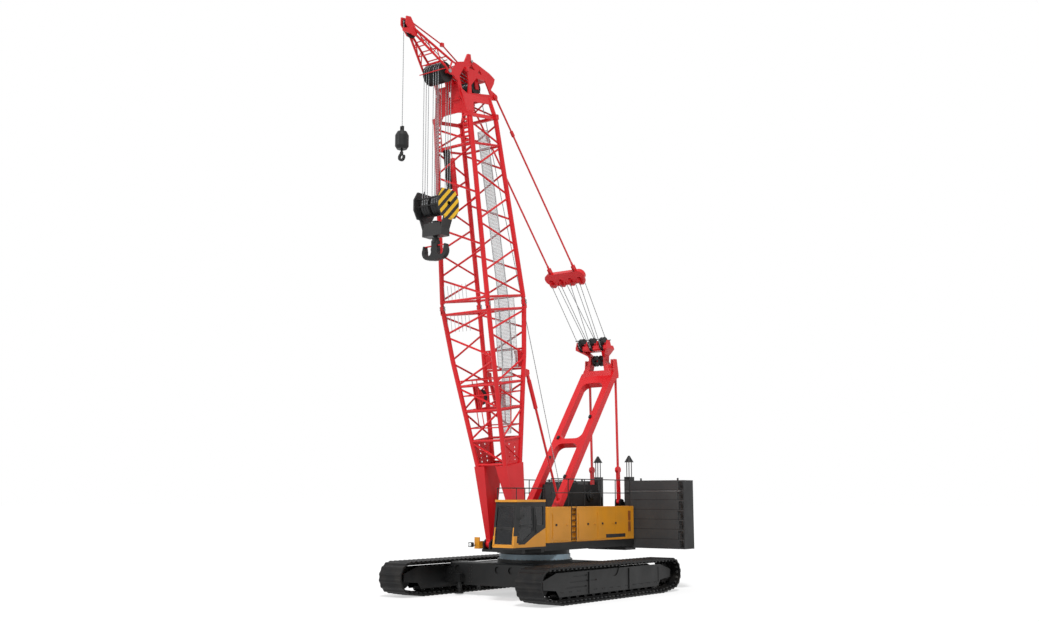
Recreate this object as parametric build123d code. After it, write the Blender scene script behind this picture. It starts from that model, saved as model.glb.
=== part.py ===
from build123d import *
import math
import os

os.makedirs("parts", exist_ok=True)

# Frame: +X forward, +Y to the machine's left, +Z up. Origin on the ground under the slew axis. All in mm.

# ---- fits ----
PIN_CLEARANCE = 0.05
SEAT_GAP = 0.3
ROPE_END_GAP = 5

# ---- tracks ----
GAUGE = 7260
SHOE_WIDTH = 1240
TRACK_HALF_LENGTH = 5400
WHEEL_OUTER_RADIUS = 680
WHEEL_CENTRE_Z = 810
FLAT_HALF_LENGTH = 3900
SHOE_COUNT = 78
SHOE_THICKNESS = 80
SHOE_GAP_DEPTH = 34
RAIL_THICKNESS = 110
RAIL_WIDTH = 360
FRAME_WIDTH = 700
FRAME_PLATE = 50
ROLLER_COUNT = 13
ROLLER_RADIUS = 130
IDLER_RADIUS = 474
IDLER_WIDTH = 300
SPROCKET_TEETH = 11

# ---- carbody ----
BEAM_FACE_X = 2200
BEAM_DEPTH = 760
BEAM_TOP_Z = 1400
BEAM_BOTTOM_Z = 430
CORE_HALF_WIDTH = 1700
CORE_BOTTOM_Z = 560
PLINTH_TOP_Z = 1520
RING_RADIUS = 1560
RING_BORE = 1180
RING_SPLIT_Z = 1745
TIE_Y = 1400
TIE_Z = 330
TIE_THICKNESS = 60
TIE_BORE_RADIUS = 45
JACK_Y = 2350

# ---- upper structure ----
DECK_BOTTOM_Z = 1930
DECK_TOP_Z = 2260
DECK_HALF_WIDTH = 1600
TAIL_HALF_WIDTH = 1000
HOUSE_FRONT_X = 1250
HOUSE_REAR_X = -5700
HOUSE_INNER_Y = 1010
HOUSE_TOP_Z = 3770
HOUSE_WALL = 40
HOUSE_CORNER = 180
LADDER_X0 = -920
LADDER_X1 = -500
LADDER_DEPTH = 150
RAIL_HEIGHT = 1200
WEIGHT_FRONT_X = -5820
WEIGHT_REAR_X = -6720
WEIGHT_INNER_Y = 1060
WEIGHT_OUTER_Y = 4250
WEIGHT_BOTTOM_Z = 1820
WEIGHT_TOP_Z = 4960
WEIGHT_SLABS = 7
STACK_X = -6500
STACK_Y = 900
STACK_TOP_Z = 5150
REAR_WALL_X = -5600

# ---- doors ----
HINGE_RADIUS = 14
HINGE_OFFSET = 11
HINGE_PIN = 6
DOOR_GAP = 6
DOOR_THICKNESS = 30
# name, rear x, front x, bottom z, top z
DOORS = (
    ("front", -380, 900, 2330, 3650),
    ("mid", -2560, -1060, 2330, 3650),
    ("rear", -4120, -2620, 2330, 3650),
)

# ---- winches: name, x, z, drum radius, flange radius ----
WINCHES = (
    ("main_hoist_drum", -1650, 3000, 330, 520),
    ("aux_hoist_drum", -2950, 3000, 330, 520),
    ("luffing_drum", -3500, 4230, 330, 500),
)
WINCH_PLATE_Y = 540
WINCH_PLATE = 40
WINCH_SHAFT = 60

# ---- cab ----
CAB_INNER_Y = 1345
CAB_OUTER_Y = 2410
CAB_REAR_X = 2530
CAB_FRONT_BOTTOM_X = 4720
CAB_FRONT_TOP_X = 4480
CAB_FLOOR_Z = 2190
CAB_ROOF_Z = 3990
CAB_ROOF = 90
CAB_WALL = 50
CAB_STEP = 90
CAB_POST = 90
GLASS = 8
DOOR_REAR_X = 3330
DOOR_TOP_Z = 3900
DOOR_HEEL_Z = 2700
DOOR_SILL_Z = 2370
DOOR_KNEE_X = 4020
DOOR_TOE_X = 4500

# ---- boom, in its own frame: forward, across, along ----
BOOM_ANGLE = 80.8
BOOM_PIN = (2050, 0, 2200)
BOOM_PIN_RADIUS = 80
LEG_Y = 850
LEG_WIDTH = 230
LEG_TOP = 3350
LEG_TOP_INNER_Y = 300
CHORD_RADIUS = 105
LACE_RADIUS = 46
FRAME_RADIUS = 54
JOINT_LOW = 10050
JOINT_HIGH = 10450
HEAD_JOINT = 18200
# along, half width and half depth at the chords' centres
SECTIONS = (
    (LEG_TOP, 730, 520),
    (8000, 1110, 1070),
    (10250, 1240, 1260),
    (HEAD_JOINT, 950, 880),
)
BASE_LEVELS = (3470, 4500, 5800, 6870, 7950, 9080, 9980)
BASE_FRAMES = (3470, 4500, 5800, 6870, 9980)
TOP_LEVELS = (10530, 11550, 12650, 13750, 14850, 15950, 17050, 18050)
TOP_FRAMES = (10530, 17050)

# ---- boom head: (forward, along) ----
MAIN_SHEAVE = (1600, 20080)
MAIN_SHEAVE_RADIUS = 430
MAIN_SHEAVE_YS = (-390, -260, -130, 0, 130, 260, 390)
MAIN_SHAFT = 60
REAR_SHEAVE = (-450, 19680)
REAR_SHEAVE_RADIUS = 300
REAR_SHEAVE_YS = (-330, -220, -110, 0, 110, 220, 330)
REAR_SHAFT = 50
PENDANT_LUG = (-1380, 19300)
PENDANT_PIN = 60
WEB_Y = 620
WEB_PLATE = 60
PENDANT_Y = 685
TIP_SHEAVE = (3060, 21640)
TOP_SHEAVE = (3310, 21970)
TOP_SHEAVE_RADIUS = 150
JIB_SHAFT = 40

# ---- mast, in its own frame: forward, across, along ----
MAST_PIN = (300, 0, 2520)
MAST_HEAD = (-5250, 0, 9950)
MAST_PIN_RADIUS = 60
MAST_Y = 770
MAST_LEG = 330
BACKSTAY_TOP = (-5620, 0, 10020)
BACKSTAY_FOOT = (-5770, 0, 3960)
BACKSTAY_Y = 745
BACKSTAY_PIN = 50
MAST_SHEAVE = (-4820, 11500)
MAST_SHEAVE_RADIUS = 330
MAST_SHEAVE_YS = (-600, 0, 600)
NECK_SHEAVE = (-5330, 10750)

# ---- bridle ----
BRIDLE_LOW = (-2140, 14850)
SPREADER_HALF = 1100

# ---- hooks ----
BLOCK_Z = 16060
BLOCK_SHAFT = 80
ROPE_RADIUS = 14
FALLS_Y = (-390, -260, -130, 130, 260, 390)
AUX_BLOCK_TOP_Z = 18740
HOOK_SHANK = 90
AUX_SHANK = 45


# ================= helpers =================

def block(x0, x1, y0, y1, z0, z1):
    centre = ((x0 + x1) / 2, (y0 + y1) / 2, (z0 + z1) / 2)
    return Pos(*centre) * Box(abs(x1 - x0), abs(y1 - y0), abs(z1 - z0))


def rod(start, end, radius):
    a = Vector(*start)
    b = Vector(*end)
    plane = Plane(origin=a, z_dir=(b - a).normalized())
    return extrude(plane * Circle(radius), (b - a).length)


def bar(start, end, radius, sides=6):
    """A straight member with flat sides, for what repeats."""
    a = Vector(*start)
    b = Vector(*end)
    plane = Plane(origin=a, z_dir=(b - a).normalized())
    return extrude(plane * RegularPolygon(radius, sides), (b - a).length)


def disc(x, z, radius, y0, y1):
    return rod((x, min(y0, y1), z), (x, max(y0, y1), z), radius)


def slab(points, y0, y1):
    """A plate whose outline is given as (x, z) points, between two places across the machine."""
    plane = Plane(origin=(0, min(y0, y1), 0), x_dir=(1, 0, 0), z_dir=(0, 1, 0))
    outline = make_face(Polyline(*[(x, -z) for x, z in points], close=True))
    return extrude(plane * outline, abs(y1 - y0))


def plate_yz(points, x0, x1):
    """A plate whose outline is given as (y, z) points, between two places along the machine."""
    plane = Plane(origin=(min(x0, x1), 0, 0), x_dir=(0, 1, 0), z_dir=(1, 0, 0))
    outline = make_face(Polyline(*points, close=True))
    return extrude(plane * outline, abs(x1 - x0))


def mirrored(points):
    """A left half outline, closed by its mirror image across the middle."""
    return list(points) + [(-y, z) for y, z in reversed(points)]


def strut(start, end, width, y0, y1):
    """A flat bar between two (x, z) places."""
    dx = end[0] - start[0]
    dz = end[1] - start[1]
    length = math.hypot(dx, dz)
    nx = -dz / length * width / 2
    nz = dx / length * width / 2
    corners = [
        (start[0] + nx, start[1] + nz),
        (end[0] + nx, end[1] + nz),
        (end[0] - nx, end[1] - nz),
        (start[0] - nx, start[1] - nz),
    ]
    return slab(corners, y0, y1)


def sheave(x, z, radius, y, width, shaft):
    """A rope wheel with a vee groove, free on its shaft."""
    half = width / 2
    bore = shaft + PIN_CLEARANCE
    points = [(bore, -half), (radius, -half), (radius - 40, 0), (radius, half), (bore, half)]
    return Pos(x, y, z) * revolve(make_face(Polyline(*points, close=True)), Axis.Y)


def fuse(shapes):
    first = shapes[0]
    rest = shapes[1:]
    if not rest:
        return first
    return first.fuse(*rest)


def toward(a, b, t):
    """The place a share t of the way from a to b."""
    return tuple(p + (q - p) * t for p, q in zip(a, b))


def save(name, shape):
    print(name, "solids", len(shape.solids()), "volume m3", round(shape.volume / 1e9, 4))
    export_step(shape, "parts/" + name + ".step")


def save_group(name, shapes):
    save(name, Compound(children=[s for shape in shapes for s in shape.solids()]))


def in_boom(shape):
    return Pos(*BOOM_PIN) * Rot(0, 90 - BOOM_ANGLE, 0) * shape


def boom_point(forward, along):
    """World (x, z) of a place in the boom's frame."""
    a = math.radians(BOOM_ANGLE)
    x = BOOM_PIN[0] + along * math.cos(a) + forward * math.sin(a)
    z = BOOM_PIN[2] + along * math.sin(a) - forward * math.cos(a)
    return (x, z)


def mast_lean():
    return math.degrees(math.atan2(MAST_HEAD[0] - MAST_PIN[0], MAST_HEAD[2] - MAST_PIN[2]))


def in_mast(shape):
    return Pos(*MAST_PIN) * Rot(0, mast_lean(), 0) * shape


# ================= tracks =================

def reach():
    """From the middle of a track to its end wheels' centres."""
    return TRACK_HALF_LENGTH - WHEEL_OUTER_RADIUS


def track_path():
    """Corner points of the loop's outer line: flat below, two raised ends, straight above."""
    run = reach() - FLAT_HALF_LENGTH
    distance = math.hypot(run, WHEEL_CENTRE_Z)
    tangent = math.atan2(-WHEEL_CENTRE_Z, -run) + math.acos(WHEEL_OUTER_RADIUS / distance)
    points = [(-FLAT_HALF_LENGTH, 0.0), (FLAT_HALF_LENGTH, 0.0)]
    steps = 40
    for i in range(steps + 1):
        angle = tangent + (math.pi / 2 - tangent) * i / steps
        x = reach() + WHEEL_OUTER_RADIUS * math.cos(angle)
        z = WHEEL_CENTRE_Z + WHEEL_OUTER_RADIUS * math.sin(angle)
        points.append((x, z))
    for x, z in reversed(points[2:]):
        points.append((-x, z))
    return points


def along_path(points, count):
    """Evenly spaced points with the outward direction at each."""
    spans = []
    for i, (x, z) in enumerate(points):
        nx, nz = points[(i + 1) % len(points)]
        spans.append((x, z, nx - x, nz - z, math.hypot(nx - x, nz - z)))
    total = sum(s[4] for s in spans)
    places = []
    for i in range(count):
        left = total * (i + 0.5) / count
        for x, z, dx, dz, length in spans:
            if left <= length:
                break
            left -= length
        places.append((x + dx * left / length, z + dz * left / length, dz / length, -dx / length))
    return places


def inset_line(places, depth):
    return [(x - nx * depth, z - nz * depth) for x, z, nx, nz in places]


def track_loop(side):
    """Shoes and chain as one loop; each shoe has a raised grouser and a gap after it."""
    places = along_path(track_path(), SHOE_COUNT * 4)
    outer = []
    for i, (x, z, nx, nz) in enumerate(places):
        depth = 0 if i % 4 in (0, 1) else SHOE_GAP_DEPTH
        outer.append((x - nx * depth, z - nz * depth))
    middle = inset_line(places[::4], SHOE_THICKNESS)
    inner = inset_line(places[::4], SHOE_THICKNESS + RAIL_THICKNESS)
    y = side * GAUGE / 2
    half = SHOE_WIDTH / 2
    rail = RAIL_WIDTH / 2
    shoes = slab(outer, y - half, y + half) - slab(middle, y - half - 1, y + half + 1)
    chain = slab(middle, y - rail, y + rail) - slab(inner, y - rail - 1, y + rail + 1)
    return shoes.fuse(chain)


def track_frame(side):
    """A box beam with a deeper plate on each face, slotted and notched on the outer one."""
    y = side * GAUGE / 2
    half = FRAME_WIDTH / 2
    end = reach()
    core = [(770 - end, CORE_BOTTOM_Z), (end - 770, CORE_BOTTOM_Z), (end - 770, 1120), (770 - end, 1120)]
    right = [(end - 920, 300), (end - 700, 560), (end + 180, 640), (end + 180, 980), (end - 720, 1240)]
    outline = right + [(-x, z) for x, z in reversed(right)]
    parts = [slab(core, y - half, y + half)]
    for edge in (-1, 1):
        parts.append(slab(outline, y + edge * (half - FRAME_PLATE), y + edge * half))
    frame = fuse(parts)
    face = y + side * half
    deep = face - side * 30
    for x0, x1, z in ((1140, 3060, 850), (1870, 2820, 1070), (1880, 3300, 640)):
        frame -= block(x0, x1, deep, face + side * 10, z - 30, z + 30)
    frame -= block(-3850, -1660, face - side * 15, face + side * 10, 480, 1120)
    frame -= disc(-200, 1290, 380, deep, face + side * 10)
    ribs = []
    for x in (1690, -1390):
        ribs.append(block(x - 40, x + 40, face - side * 10, face + side * 40, 320, 1180))
    return fuse([frame] + ribs)


def roller_places():
    span = 2 * (FLAT_HALF_LENGTH - 350)
    z = SHOE_THICKNESS + RAIL_THICKNESS + ROLLER_RADIUS
    return [(-span / 2 + span * i / (ROLLER_COUNT - 1), z) for i in range(ROLLER_COUNT)]


def roller(x, z, side):
    y = side * GAUGE / 2
    body = bar((x, y - 230, z), (x, y + 230, z), ROLLER_RADIUS, 12)
    axle = FRAME_WIDTH / 2 - FRAME_PLATE
    return body.fuse(bar((x, y - axle, z), (x, y + axle, z), 45, 8))


def idler(side):
    y = side * GAUGE / 2
    wheel = disc(reach(), WHEEL_CENTRE_Z, IDLER_RADIUS, y - IDLER_WIDTH / 2, y + IDLER_WIDTH / 2)
    axle = FRAME_WIDTH / 2 - FRAME_PLATE
    return wheel.fuse(disc(reach(), WHEEL_CENTRE_Z, 90, y - axle, y + axle))


def sprocket(side):
    x = -reach()
    y = side * GAUGE / 2
    points = []
    for i in range(SPROCKET_TEETH * 4):
        angle = 2 * math.pi * i / (SPROCKET_TEETH * 4)
        radius = IDLER_RADIUS - 4 if i % 4 in (0, 1) else IDLER_RADIUS - 74
        points.append((x + radius * math.cos(angle), WHEEL_CENTRE_Z + radius * math.sin(angle)))
    ring = slab(points, y - IDLER_WIDTH / 2, y + IDLER_WIDTH / 2)
    axle = FRAME_WIDTH / 2 - FRAME_PLATE
    return ring.fuse(disc(x, WHEEL_CENTRE_Z, 260, y - axle, y + axle))


def travel_drive(side):
    y = side * (GAUGE / 2 - FRAME_WIDTH / 2)
    case = disc(-reach(), WHEEL_CENTRE_Z, 250, y, y - side * 330)
    motor = disc(-reach(), WHEEL_CENTRE_Z, 160, y - side * 330, y - side * 560)
    return case.fuse(motor)


# ================= carbody =================

def carbody():
    inner_x = BEAM_FACE_X - BEAM_DEPTH
    core = block(-inner_x, inner_x, -CORE_HALF_WIDTH, CORE_HALF_WIDTH, CORE_BOTTOM_Z, BEAM_TOP_Z)
    core = chamfer(core.edges().filter_by(Axis.Z), 120)
    plinth = rod((0, 0, BEAM_TOP_Z), (0, 0, PLINTH_TOP_Z), RING_RADIUS + 90)
    body = core.fuse(plinth)
    # The plinth reaches over the beams, so they carry it too.
    return body - rod((0, 0, BEAM_TOP_Z - 100), (0, 0, PLINTH_TOP_Z + 1), RING_BORE - 80)


def cross_beam(end):
    x0 = end * BEAM_FACE_X
    x1 = end * (BEAM_FACE_X - BEAM_DEPTH)
    neck = GAUGE / 2 - SHOE_WIDTH / 2 - 25
    tongue = GAUGE / 2 - FRAME_WIDTH / 2
    beam = block(x0, x1, -neck, neck, BEAM_BOTTOM_Z, BEAM_TOP_Z)
    long_edges = beam.edges().filter_by(Axis.Y).sort_by(Axis.Z)[-2:]
    outer = sorted(long_edges, key=lambda e: end * e.center().X)[-1]
    beam = chamfer(outer, 60)
    beam = beam.fuse(block(x0, x1, -tongue, tongue, BEAM_BOTTOM_Z + 60, 1180))
    for y in (-2560, -360, 360, 2560):
        beam -= rod((end * (BEAM_FACE_X + 5), y, 1110), (end * (BEAM_FACE_X - 60), y, 1110), 150)
    for y in (-TIE_Y, TIE_Y):
        eye_back = end * (BEAM_FACE_X - TIE_THICKNESS)
        beam = beam.fuse(block(x0, eye_back, y - 90, y + 90, TIE_Z - 80, BEAM_BOTTOM_Z))
        far = (end * (BEAM_FACE_X + 10), y, TIE_Z)
        near = (end * (BEAM_FACE_X - TIE_THICKNESS - 10), y, TIE_Z)
        beam -= rod(far, near, TIE_BORE_RADIUS)
    return beam


def slew_ring():
    ring = rod((0, 0, PLINTH_TOP_Z), (0, 0, RING_SPLIT_Z - SEAT_GAP), RING_RADIUS)
    return ring - rod((0, 0, PLINTH_TOP_Z - 1), (0, 0, RING_SPLIT_Z), RING_BORE)


def jack(end, y):
    x = end * (BEAM_FACE_X + 150)
    arm = block(end * BEAM_FACE_X, end * (BEAM_FACE_X + 300), y - 150, y + 150, CORE_BOTTOM_Z, 900)
    barrel = rod((x, y, CORE_BOTTOM_Z), (x, y, 300), 110)
    stem = rod((x, y, 300), (x, y, 130), 70)
    foot = rod((x, y, 130), (x, y, 60), 190)
    return fuse([arm, barrel, stem, foot])


def build_undercarriage():
    save("carbody", carbody())
    save_group("cross_beams", [cross_beam(1), cross_beam(-1)])
    save("slew_ring", slew_ring())
    save("track_left", track_loop(1))
    save("track_right", track_loop(-1))
    save_group("track_frames", [track_frame(1), track_frame(-1)])
    rollers = [roller(x, z, side) for side in (1, -1) for x, z in roller_places()]
    save_group("track_rollers", rollers + [idler(1), idler(-1)])
    save_group("drive_sprockets", [sprocket(1), sprocket(-1)])
    save_group("travel_drives", [travel_drive(1), travel_drive(-1)])
    save_group("assembly_jacks", [jack(x, y) for x in (-1, 1) for y in (-JACK_Y, JACK_Y)])


# ================= upper structure =================

def foot_plates(profile, spans):
    """Clevis plates standing on the deck, the same on both sides."""
    parts = []
    for y0, y1 in spans:
        for side in (1, -1):
            parts.append(slab(profile, side * y0, side * y1))
    return parts


def turntable():
    parts = [
        block(HOUSE_REAR_X, 1500, -DECK_HALF_WIDTH, DECK_HALF_WIDTH, DECK_BOTTOM_Z, DECK_TOP_Z),
        block(-6800, HOUSE_REAR_X, -TAIL_HALF_WIDTH, TAIL_HALF_WIDTH, DECK_BOTTOM_Z, DECK_TOP_Z),
        block(1500, 2350, -1100, 1100, DECK_BOTTOM_Z - 60, DECK_TOP_Z - 280),
        rod((0, 0, RING_SPLIT_Z), (0, 0, DECK_BOTTOM_Z), RING_RADIUS - 40),
    ]
    x = BOOM_PIN[0]
    cheek = [(1350, 1900), (x + 300, 1900), (x + 300, 2250), (x + 130, 2400), (x - 130, 2400), (1350, 2260)]
    inner = LEG_Y - LEG_WIDTH / 2 - 10
    outer = LEG_Y + LEG_WIDTH / 2 + 10
    parts += foot_plates(cheek, ((inner - 85, inner), (outer, outer + 85)))
    x = MAST_PIN[0]
    cheek = [(x - 240, 2200), (x + 260, 2200), (x + 140, 2640), (x - 140, 2640)]
    inner = MAST_Y - MAST_LEG / 2 - 10
    outer = MAST_Y + MAST_LEG / 2 + 10
    parts += foot_plates(cheek, ((inner - 65, inner), (outer, outer + 55)))
    body = fuse(parts) - rod((0, 0, RING_SPLIT_Z - 1), (0, 0, DECK_TOP_Z + 1), 700)
    pins = []
    for side in (1, -1):
        leg = side * LEG_Y
        pins.append(disc(BOOM_PIN[0], BOOM_PIN[2], BOOM_PIN_RADIUS, leg - LEG_WIDTH, leg + LEG_WIDTH))
        leg = side * MAST_Y
        pins.append(disc(MAST_PIN[0], MAST_PIN[2], MAST_PIN_RADIUS, leg - MAST_LEG + 95, leg + MAST_LEG - 95))
    return body.fuse(*pins)


def hinge_barrel(x, y, z0, z1):
    """The moving barrel, bored for the fixed pin."""
    bore = rod((x, y, z0 - 1), (x, y, z1 + 1), HINGE_PIN + PIN_CLEARANCE)
    return rod((x, y, z0), (x, y, z1), HINGE_RADIUS) - bore


def hinge_fixed(x, y, wall_x, wall_y, z0, z1):
    """The fixed pin with a knuckle above and below the barrel, each on an arm from the wall."""
    parts = [rod((x, y, z0 - 60), (x, y, z1 + 60), HINGE_PIN)]
    for low, high in ((z0 - 60, z0 - 1), (z1 + 1, z1 + 60)):
        parts.append(rod((x, y, low), (x, y, high), HINGE_OFFSET - 1.5))
        parts.append(block(x, wall_x, wall_y, y + (y - wall_y) * 0.6, low, high))
    return parts


def door_axis(side, row):
    return row[2] - 20, side * (DECK_HALF_WIDTH + HINGE_OFFSET)


def side_doors(side):
    """The right house has no front door."""
    return DOORS if side > 0 else DOORS[1:]


def house_shell(side):
    inner = side * HOUSE_INNER_Y
    outer = side * DECK_HALF_WIDTH
    w = HOUSE_WALL
    shell = block(HOUSE_REAR_X, HOUSE_FRONT_X, inner, outer, DECK_TOP_Z, HOUSE_TOP_Z)
    uprights = shell.edges().filter_by(Axis.Z).sort_by(Axis.X)[-2:]
    corner = sorted(uprights, key=lambda e: abs(e.center().Y))[-1]
    shell = fillet(corner, HOUSE_CORNER)
    eaves = shell.edges().filter_by(Axis.X).sort_by(Axis.Z)[-2:]
    eave = sorted(eaves, key=lambda e: abs(e.center().Y))[-1]
    shell = chamfer(eave, 35)
    room_y = (inner + side * w, outer - side * w)
    front = HOUSE_FRONT_X - HOUSE_CORNER - w
    shell -= block(HOUSE_REAR_X + w, front, *room_y, DECK_TOP_Z - 1, HOUSE_TOP_Z - w)
    for name, x0, x1, z0, z1 in side_doors(side):
        shell -= block(x0, x1, outer - side * (w + 1), outer + side, z0, z1)
    well = (outer - side * (w + 1), outer + side)
    shell -= block(LADDER_X0, LADDER_X1, *well, DECK_TOP_Z - 1, HOUSE_TOP_Z - 60)
    return fuse([shell] + ladder(side) + door_pins(side))


def ladder(side):
    """The recess behind the ladder and its rungs."""
    outer = side * DECK_HALF_WIDTH
    deep = outer - side * LADDER_DEPTH
    top = HOUSE_TOP_Z - HOUSE_WALL
    wall = outer - side * HOUSE_WALL
    parts = [
        block(LADDER_X0 - 30, LADDER_X1 + 30, deep, deep + side * 30, DECK_TOP_Z, top),
        block(LADDER_X0 - 30, LADDER_X0, deep, wall, DECK_TOP_Z, top),
        block(LADDER_X1, LADDER_X1 + 30, deep, wall, DECK_TOP_Z, top),
    ]
    for i in range(5):
        z = DECK_TOP_Z + 180 + 270 * i
        parts.append(block(LADDER_X0, LADDER_X1, outer - side * 60, outer - side * 30, z, z + 30))
    return parts


def door_pins(side):
    pins = []
    wall = side * DECK_HALF_WIDTH
    for row in side_doors(side):
        x, y = door_axis(side, row)
        pins += hinge_fixed(x, y, row[2] + 40, wall, row[3] + 200, row[4] - 200)
    return pins


def house_door(side, row):
    name, x0, x1, z0, z1 = row
    wall = side * DECK_HALF_WIDTH
    back = wall - side * DOOR_THICKNESS
    panel = block(x0 + DOOR_GAP, x1 - DOOR_GAP, back, wall, z0 + DOOR_GAP, z1 - DOOR_GAP)
    handle = block(x0 + 120, x0 + 240, wall, wall + side * 25, 2980, 3030)
    x, y = door_axis(side, row)
    for low in (z0 + 138, z1 - 200):
        panel -= block(x - HINGE_RADIUS, x + 30, back - side, wall + side, low, low + 62)
    return fuse([panel, handle, hinge_barrel(x, y, z0 + 200, z1 - 200)])


def counterweight():
    base_top = DECK_BOTTOM_Z
    parts = [block(WEIGHT_REAR_X, WEIGHT_FRONT_X, -WEIGHT_INNER_Y, WEIGHT_INNER_Y, 1700, base_top)]
    step = (WEIGHT_TOP_Z - WEIGHT_BOTTOM_Z) / WEIGHT_SLABS
    for side in (1, -1):
        inner = side * WEIGHT_INNER_Y
        outer = side * WEIGHT_OUTER_Y
        for i in range(WEIGHT_SLABS):
            z = WEIGHT_BOTTOM_Z + i * step
            slab_solid = block(WEIGHT_REAR_X, WEIGHT_FRONT_X, inner, outer, z, z + step)
            notch = outer - side * (330 if i % 2 else 270)
            front = WEIGHT_FRONT_X
            slab_solid -= block(front - 60, front + 1, notch, outer - side * 60, z - 1, z + step - 70)
            parts.append(slab_solid)
        for y in (side * 1700, side * 3700):
            lug = block(-6320, -6220, y - 20, y + 20, WEIGHT_TOP_Z, WEIGHT_TOP_Z + 110)
            parts.append(lug)
    return fuse(parts)


def capped_stack(side):
    """A tower with a cone cap on three rods."""
    y = side * STACK_Y
    parts = [block(STACK_X - 220, STACK_X + 220, y - 150, y + 150, DECK_TOP_Z, STACK_TOP_Z)]
    for i in range(3):
        angle = math.radians(120 * i + 30)
        x = STACK_X + 130 * math.cos(angle)
        rod_y = y + 130 * math.sin(angle)
        parts.append(bar((x, rod_y, STACK_TOP_Z), (x, rod_y, STACK_TOP_Z + 750), 22, 8))
    parts.append(Pos(STACK_X, y, STACK_TOP_Z + 860) * Cone(230, 40, 320))
    return fuse(parts)


def rear_frame():
    """A cross wall between the houses with two wings back to the counterweight."""
    x = REAR_WALL_X
    return fuse([
        block(x, x + 60, -950, 950, DECK_TOP_Z, 3500),
        block(-6260, x, -960, -900, DECK_TOP_Z, 3500),
        block(-6260, x, 900, 960, DECK_TOP_Z, 3500),
    ])


def stay_bracket(side, near, far):
    """A plate beside the backstay's foot eye, with bosses; the near one stops short of the eye."""
    x, _, z = BACKSTAY_FOOT
    outline = [(-6200, DECK_TOP_Z), (x + 150, DECK_TOP_Z), (x + 130, z + 40), (x + 60, z + 130)]
    outline += [(x - 60, z + 140), (x - 200, z + 100), (x - 330, z - 100)]
    plate = slab(outline, *sorted((side * near, side * far)))
    lean = (near - far) / abs(near - far)
    plate += disc(x, z, 90, *sorted((side * near, side * (near + lean * 27))))
    return plate + disc(x, z, 75, *sorted((side * far, side * (far - lean * 25))))


def winch_side(side):
    """A side plate bored for the three drum shafts."""
    outline = [(-4600, DECK_TOP_Z), (-1050, DECK_TOP_Z), (-1050, 3500), (-1400, 4760)]
    outline += [(-4050, 4760), (-4600, 4100)]
    plate = slab(outline, side * WINCH_PLATE_Y, side * (WINCH_PLATE_Y + WINCH_PLATE))
    plate -= disc(-2300, 3300, 180, side * (WINCH_PLATE_Y - 5), side * (WINCH_PLATE_Y + WINCH_PLATE + 5))
    for name, x, z, drum_radius, flange in WINCHES:
        bore = WINCH_SHAFT + PIN_CLEARANCE
        plate -= disc(x, z, bore, side * (WINCH_PLATE_Y - 5), side * (WINCH_PLATE_Y + WINCH_PLATE + 5))
    return plate


def winch_ties():
    y = WINCH_PLATE_Y
    return [
        block(-4600, -4520, -y, y, DECK_TOP_Z, 2500),
        block(-2340, -2260, -y, y, DECK_TOP_Z, 2500),
        block(-4560, -4440, -y, y, 3700, 3820),
    ]


def oil_tank():
    """The dark box over the front winch, with a stiffening rib round it."""
    y = WINCH_PLATE_Y
    outline = [(-1180, 3700), (-1400, 4760), (-2780, 4760), (-2780, 3700)]
    tank = slab(outline, -y, y)
    return tank.fuse(block(-2700, -1480, -y + 60, y - 60, 4760, 4820))


def drum(row):
    name, x, z, drum_radius, flange = row
    parts = [disc(x, z, drum_radius, -430, 430)]
    parts += [disc(x, z, flange, -470, -430), disc(x, z, flange, 430, 470)]
    ends = WINCH_PLATE_Y + WINCH_PLATE
    parts.append(disc(x, z, WINCH_SHAFT, -ends, ends))
    return fuse(parts)


def handrail(side):
    y = side * (DECK_HALF_WIDTH - 60)
    top = HOUSE_TOP_Z + RAIL_HEIGHT
    x0 = HOUSE_REAR_X + 200
    x1 = HOUSE_FRONT_X - 350
    rails = [bar((x0, y, top), (x1, y, top), 22, 8)]
    rails.append(bar((x0, y, top - RAIL_HEIGHT / 2), (x1, y, top - RAIL_HEIGHT / 2), 18, 8))
    for i in range(6):
        x = x0 + (x1 - x0) * i / 5
        rails.append(bar((x, y, HOUSE_TOP_Z), (x, y, top), 22, 8))
    return fuse(rails)


def foot_step():
    """The small guarded step beside the boom's right foot, with a lamp on an arm."""
    y = -LEG_Y - LEG_WIDTH - 120
    parts = [
        block(1500, 2420, y - 260, y, 1990, 2050),
        block(2360, 2420, y - 260, y, 2050, 2480),
        block(1500, 2360, y - 260, y - 220, 2050, 2300),
    ]
    return fuse(parts)


def build_upper():
    save("turntable", turntable())
    save("house_left", house_shell(1))
    save("house_right", house_shell(-1))
    for side, word in ((1, "left"), (-1, "right")):
        for row in side_doors(side):
            save("door_" + word + "_" + row[0], house_door(side, row))
    save("engine_block", block(-5500, -4700, -520, 520, DECK_TOP_Z, 3450))
    save("counterweight", counterweight())
    save_group("capped_stacks", [capped_stack(1), capped_stack(-1)])
    brackets = []
    for side in (1, -1):
        brackets.append(stay_bracket(side, BACKSTAY_Y - 95, BACKSTAY_Y - 145))
        brackets.append(stay_bracket(side, BACKSTAY_Y + 95, BACKSTAY_Y + 145))
    save_group("rear_frame", [rear_frame()] + brackets)
    save("winch_frame", fuse([winch_side(1), winch_side(-1)] + winch_ties()))
    save("oil_tank", oil_tank())
    for row in WINCHES:
        save(row[0], drum(row))
    save_group("handrails", [handrail(1), handrail(-1), cab_rail()])
    save("foot_step", foot_step())


# ================= cab =================

def front_x(z):
    """The sloped front face at a height."""
    share = (z - CAB_FLOOR_Z) / (CAB_ROOF_Z - CAB_FLOOR_Z)
    return CAB_FRONT_BOTTOM_X + (CAB_FRONT_TOP_X - CAB_FRONT_BOTTOM_X) * share


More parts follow.
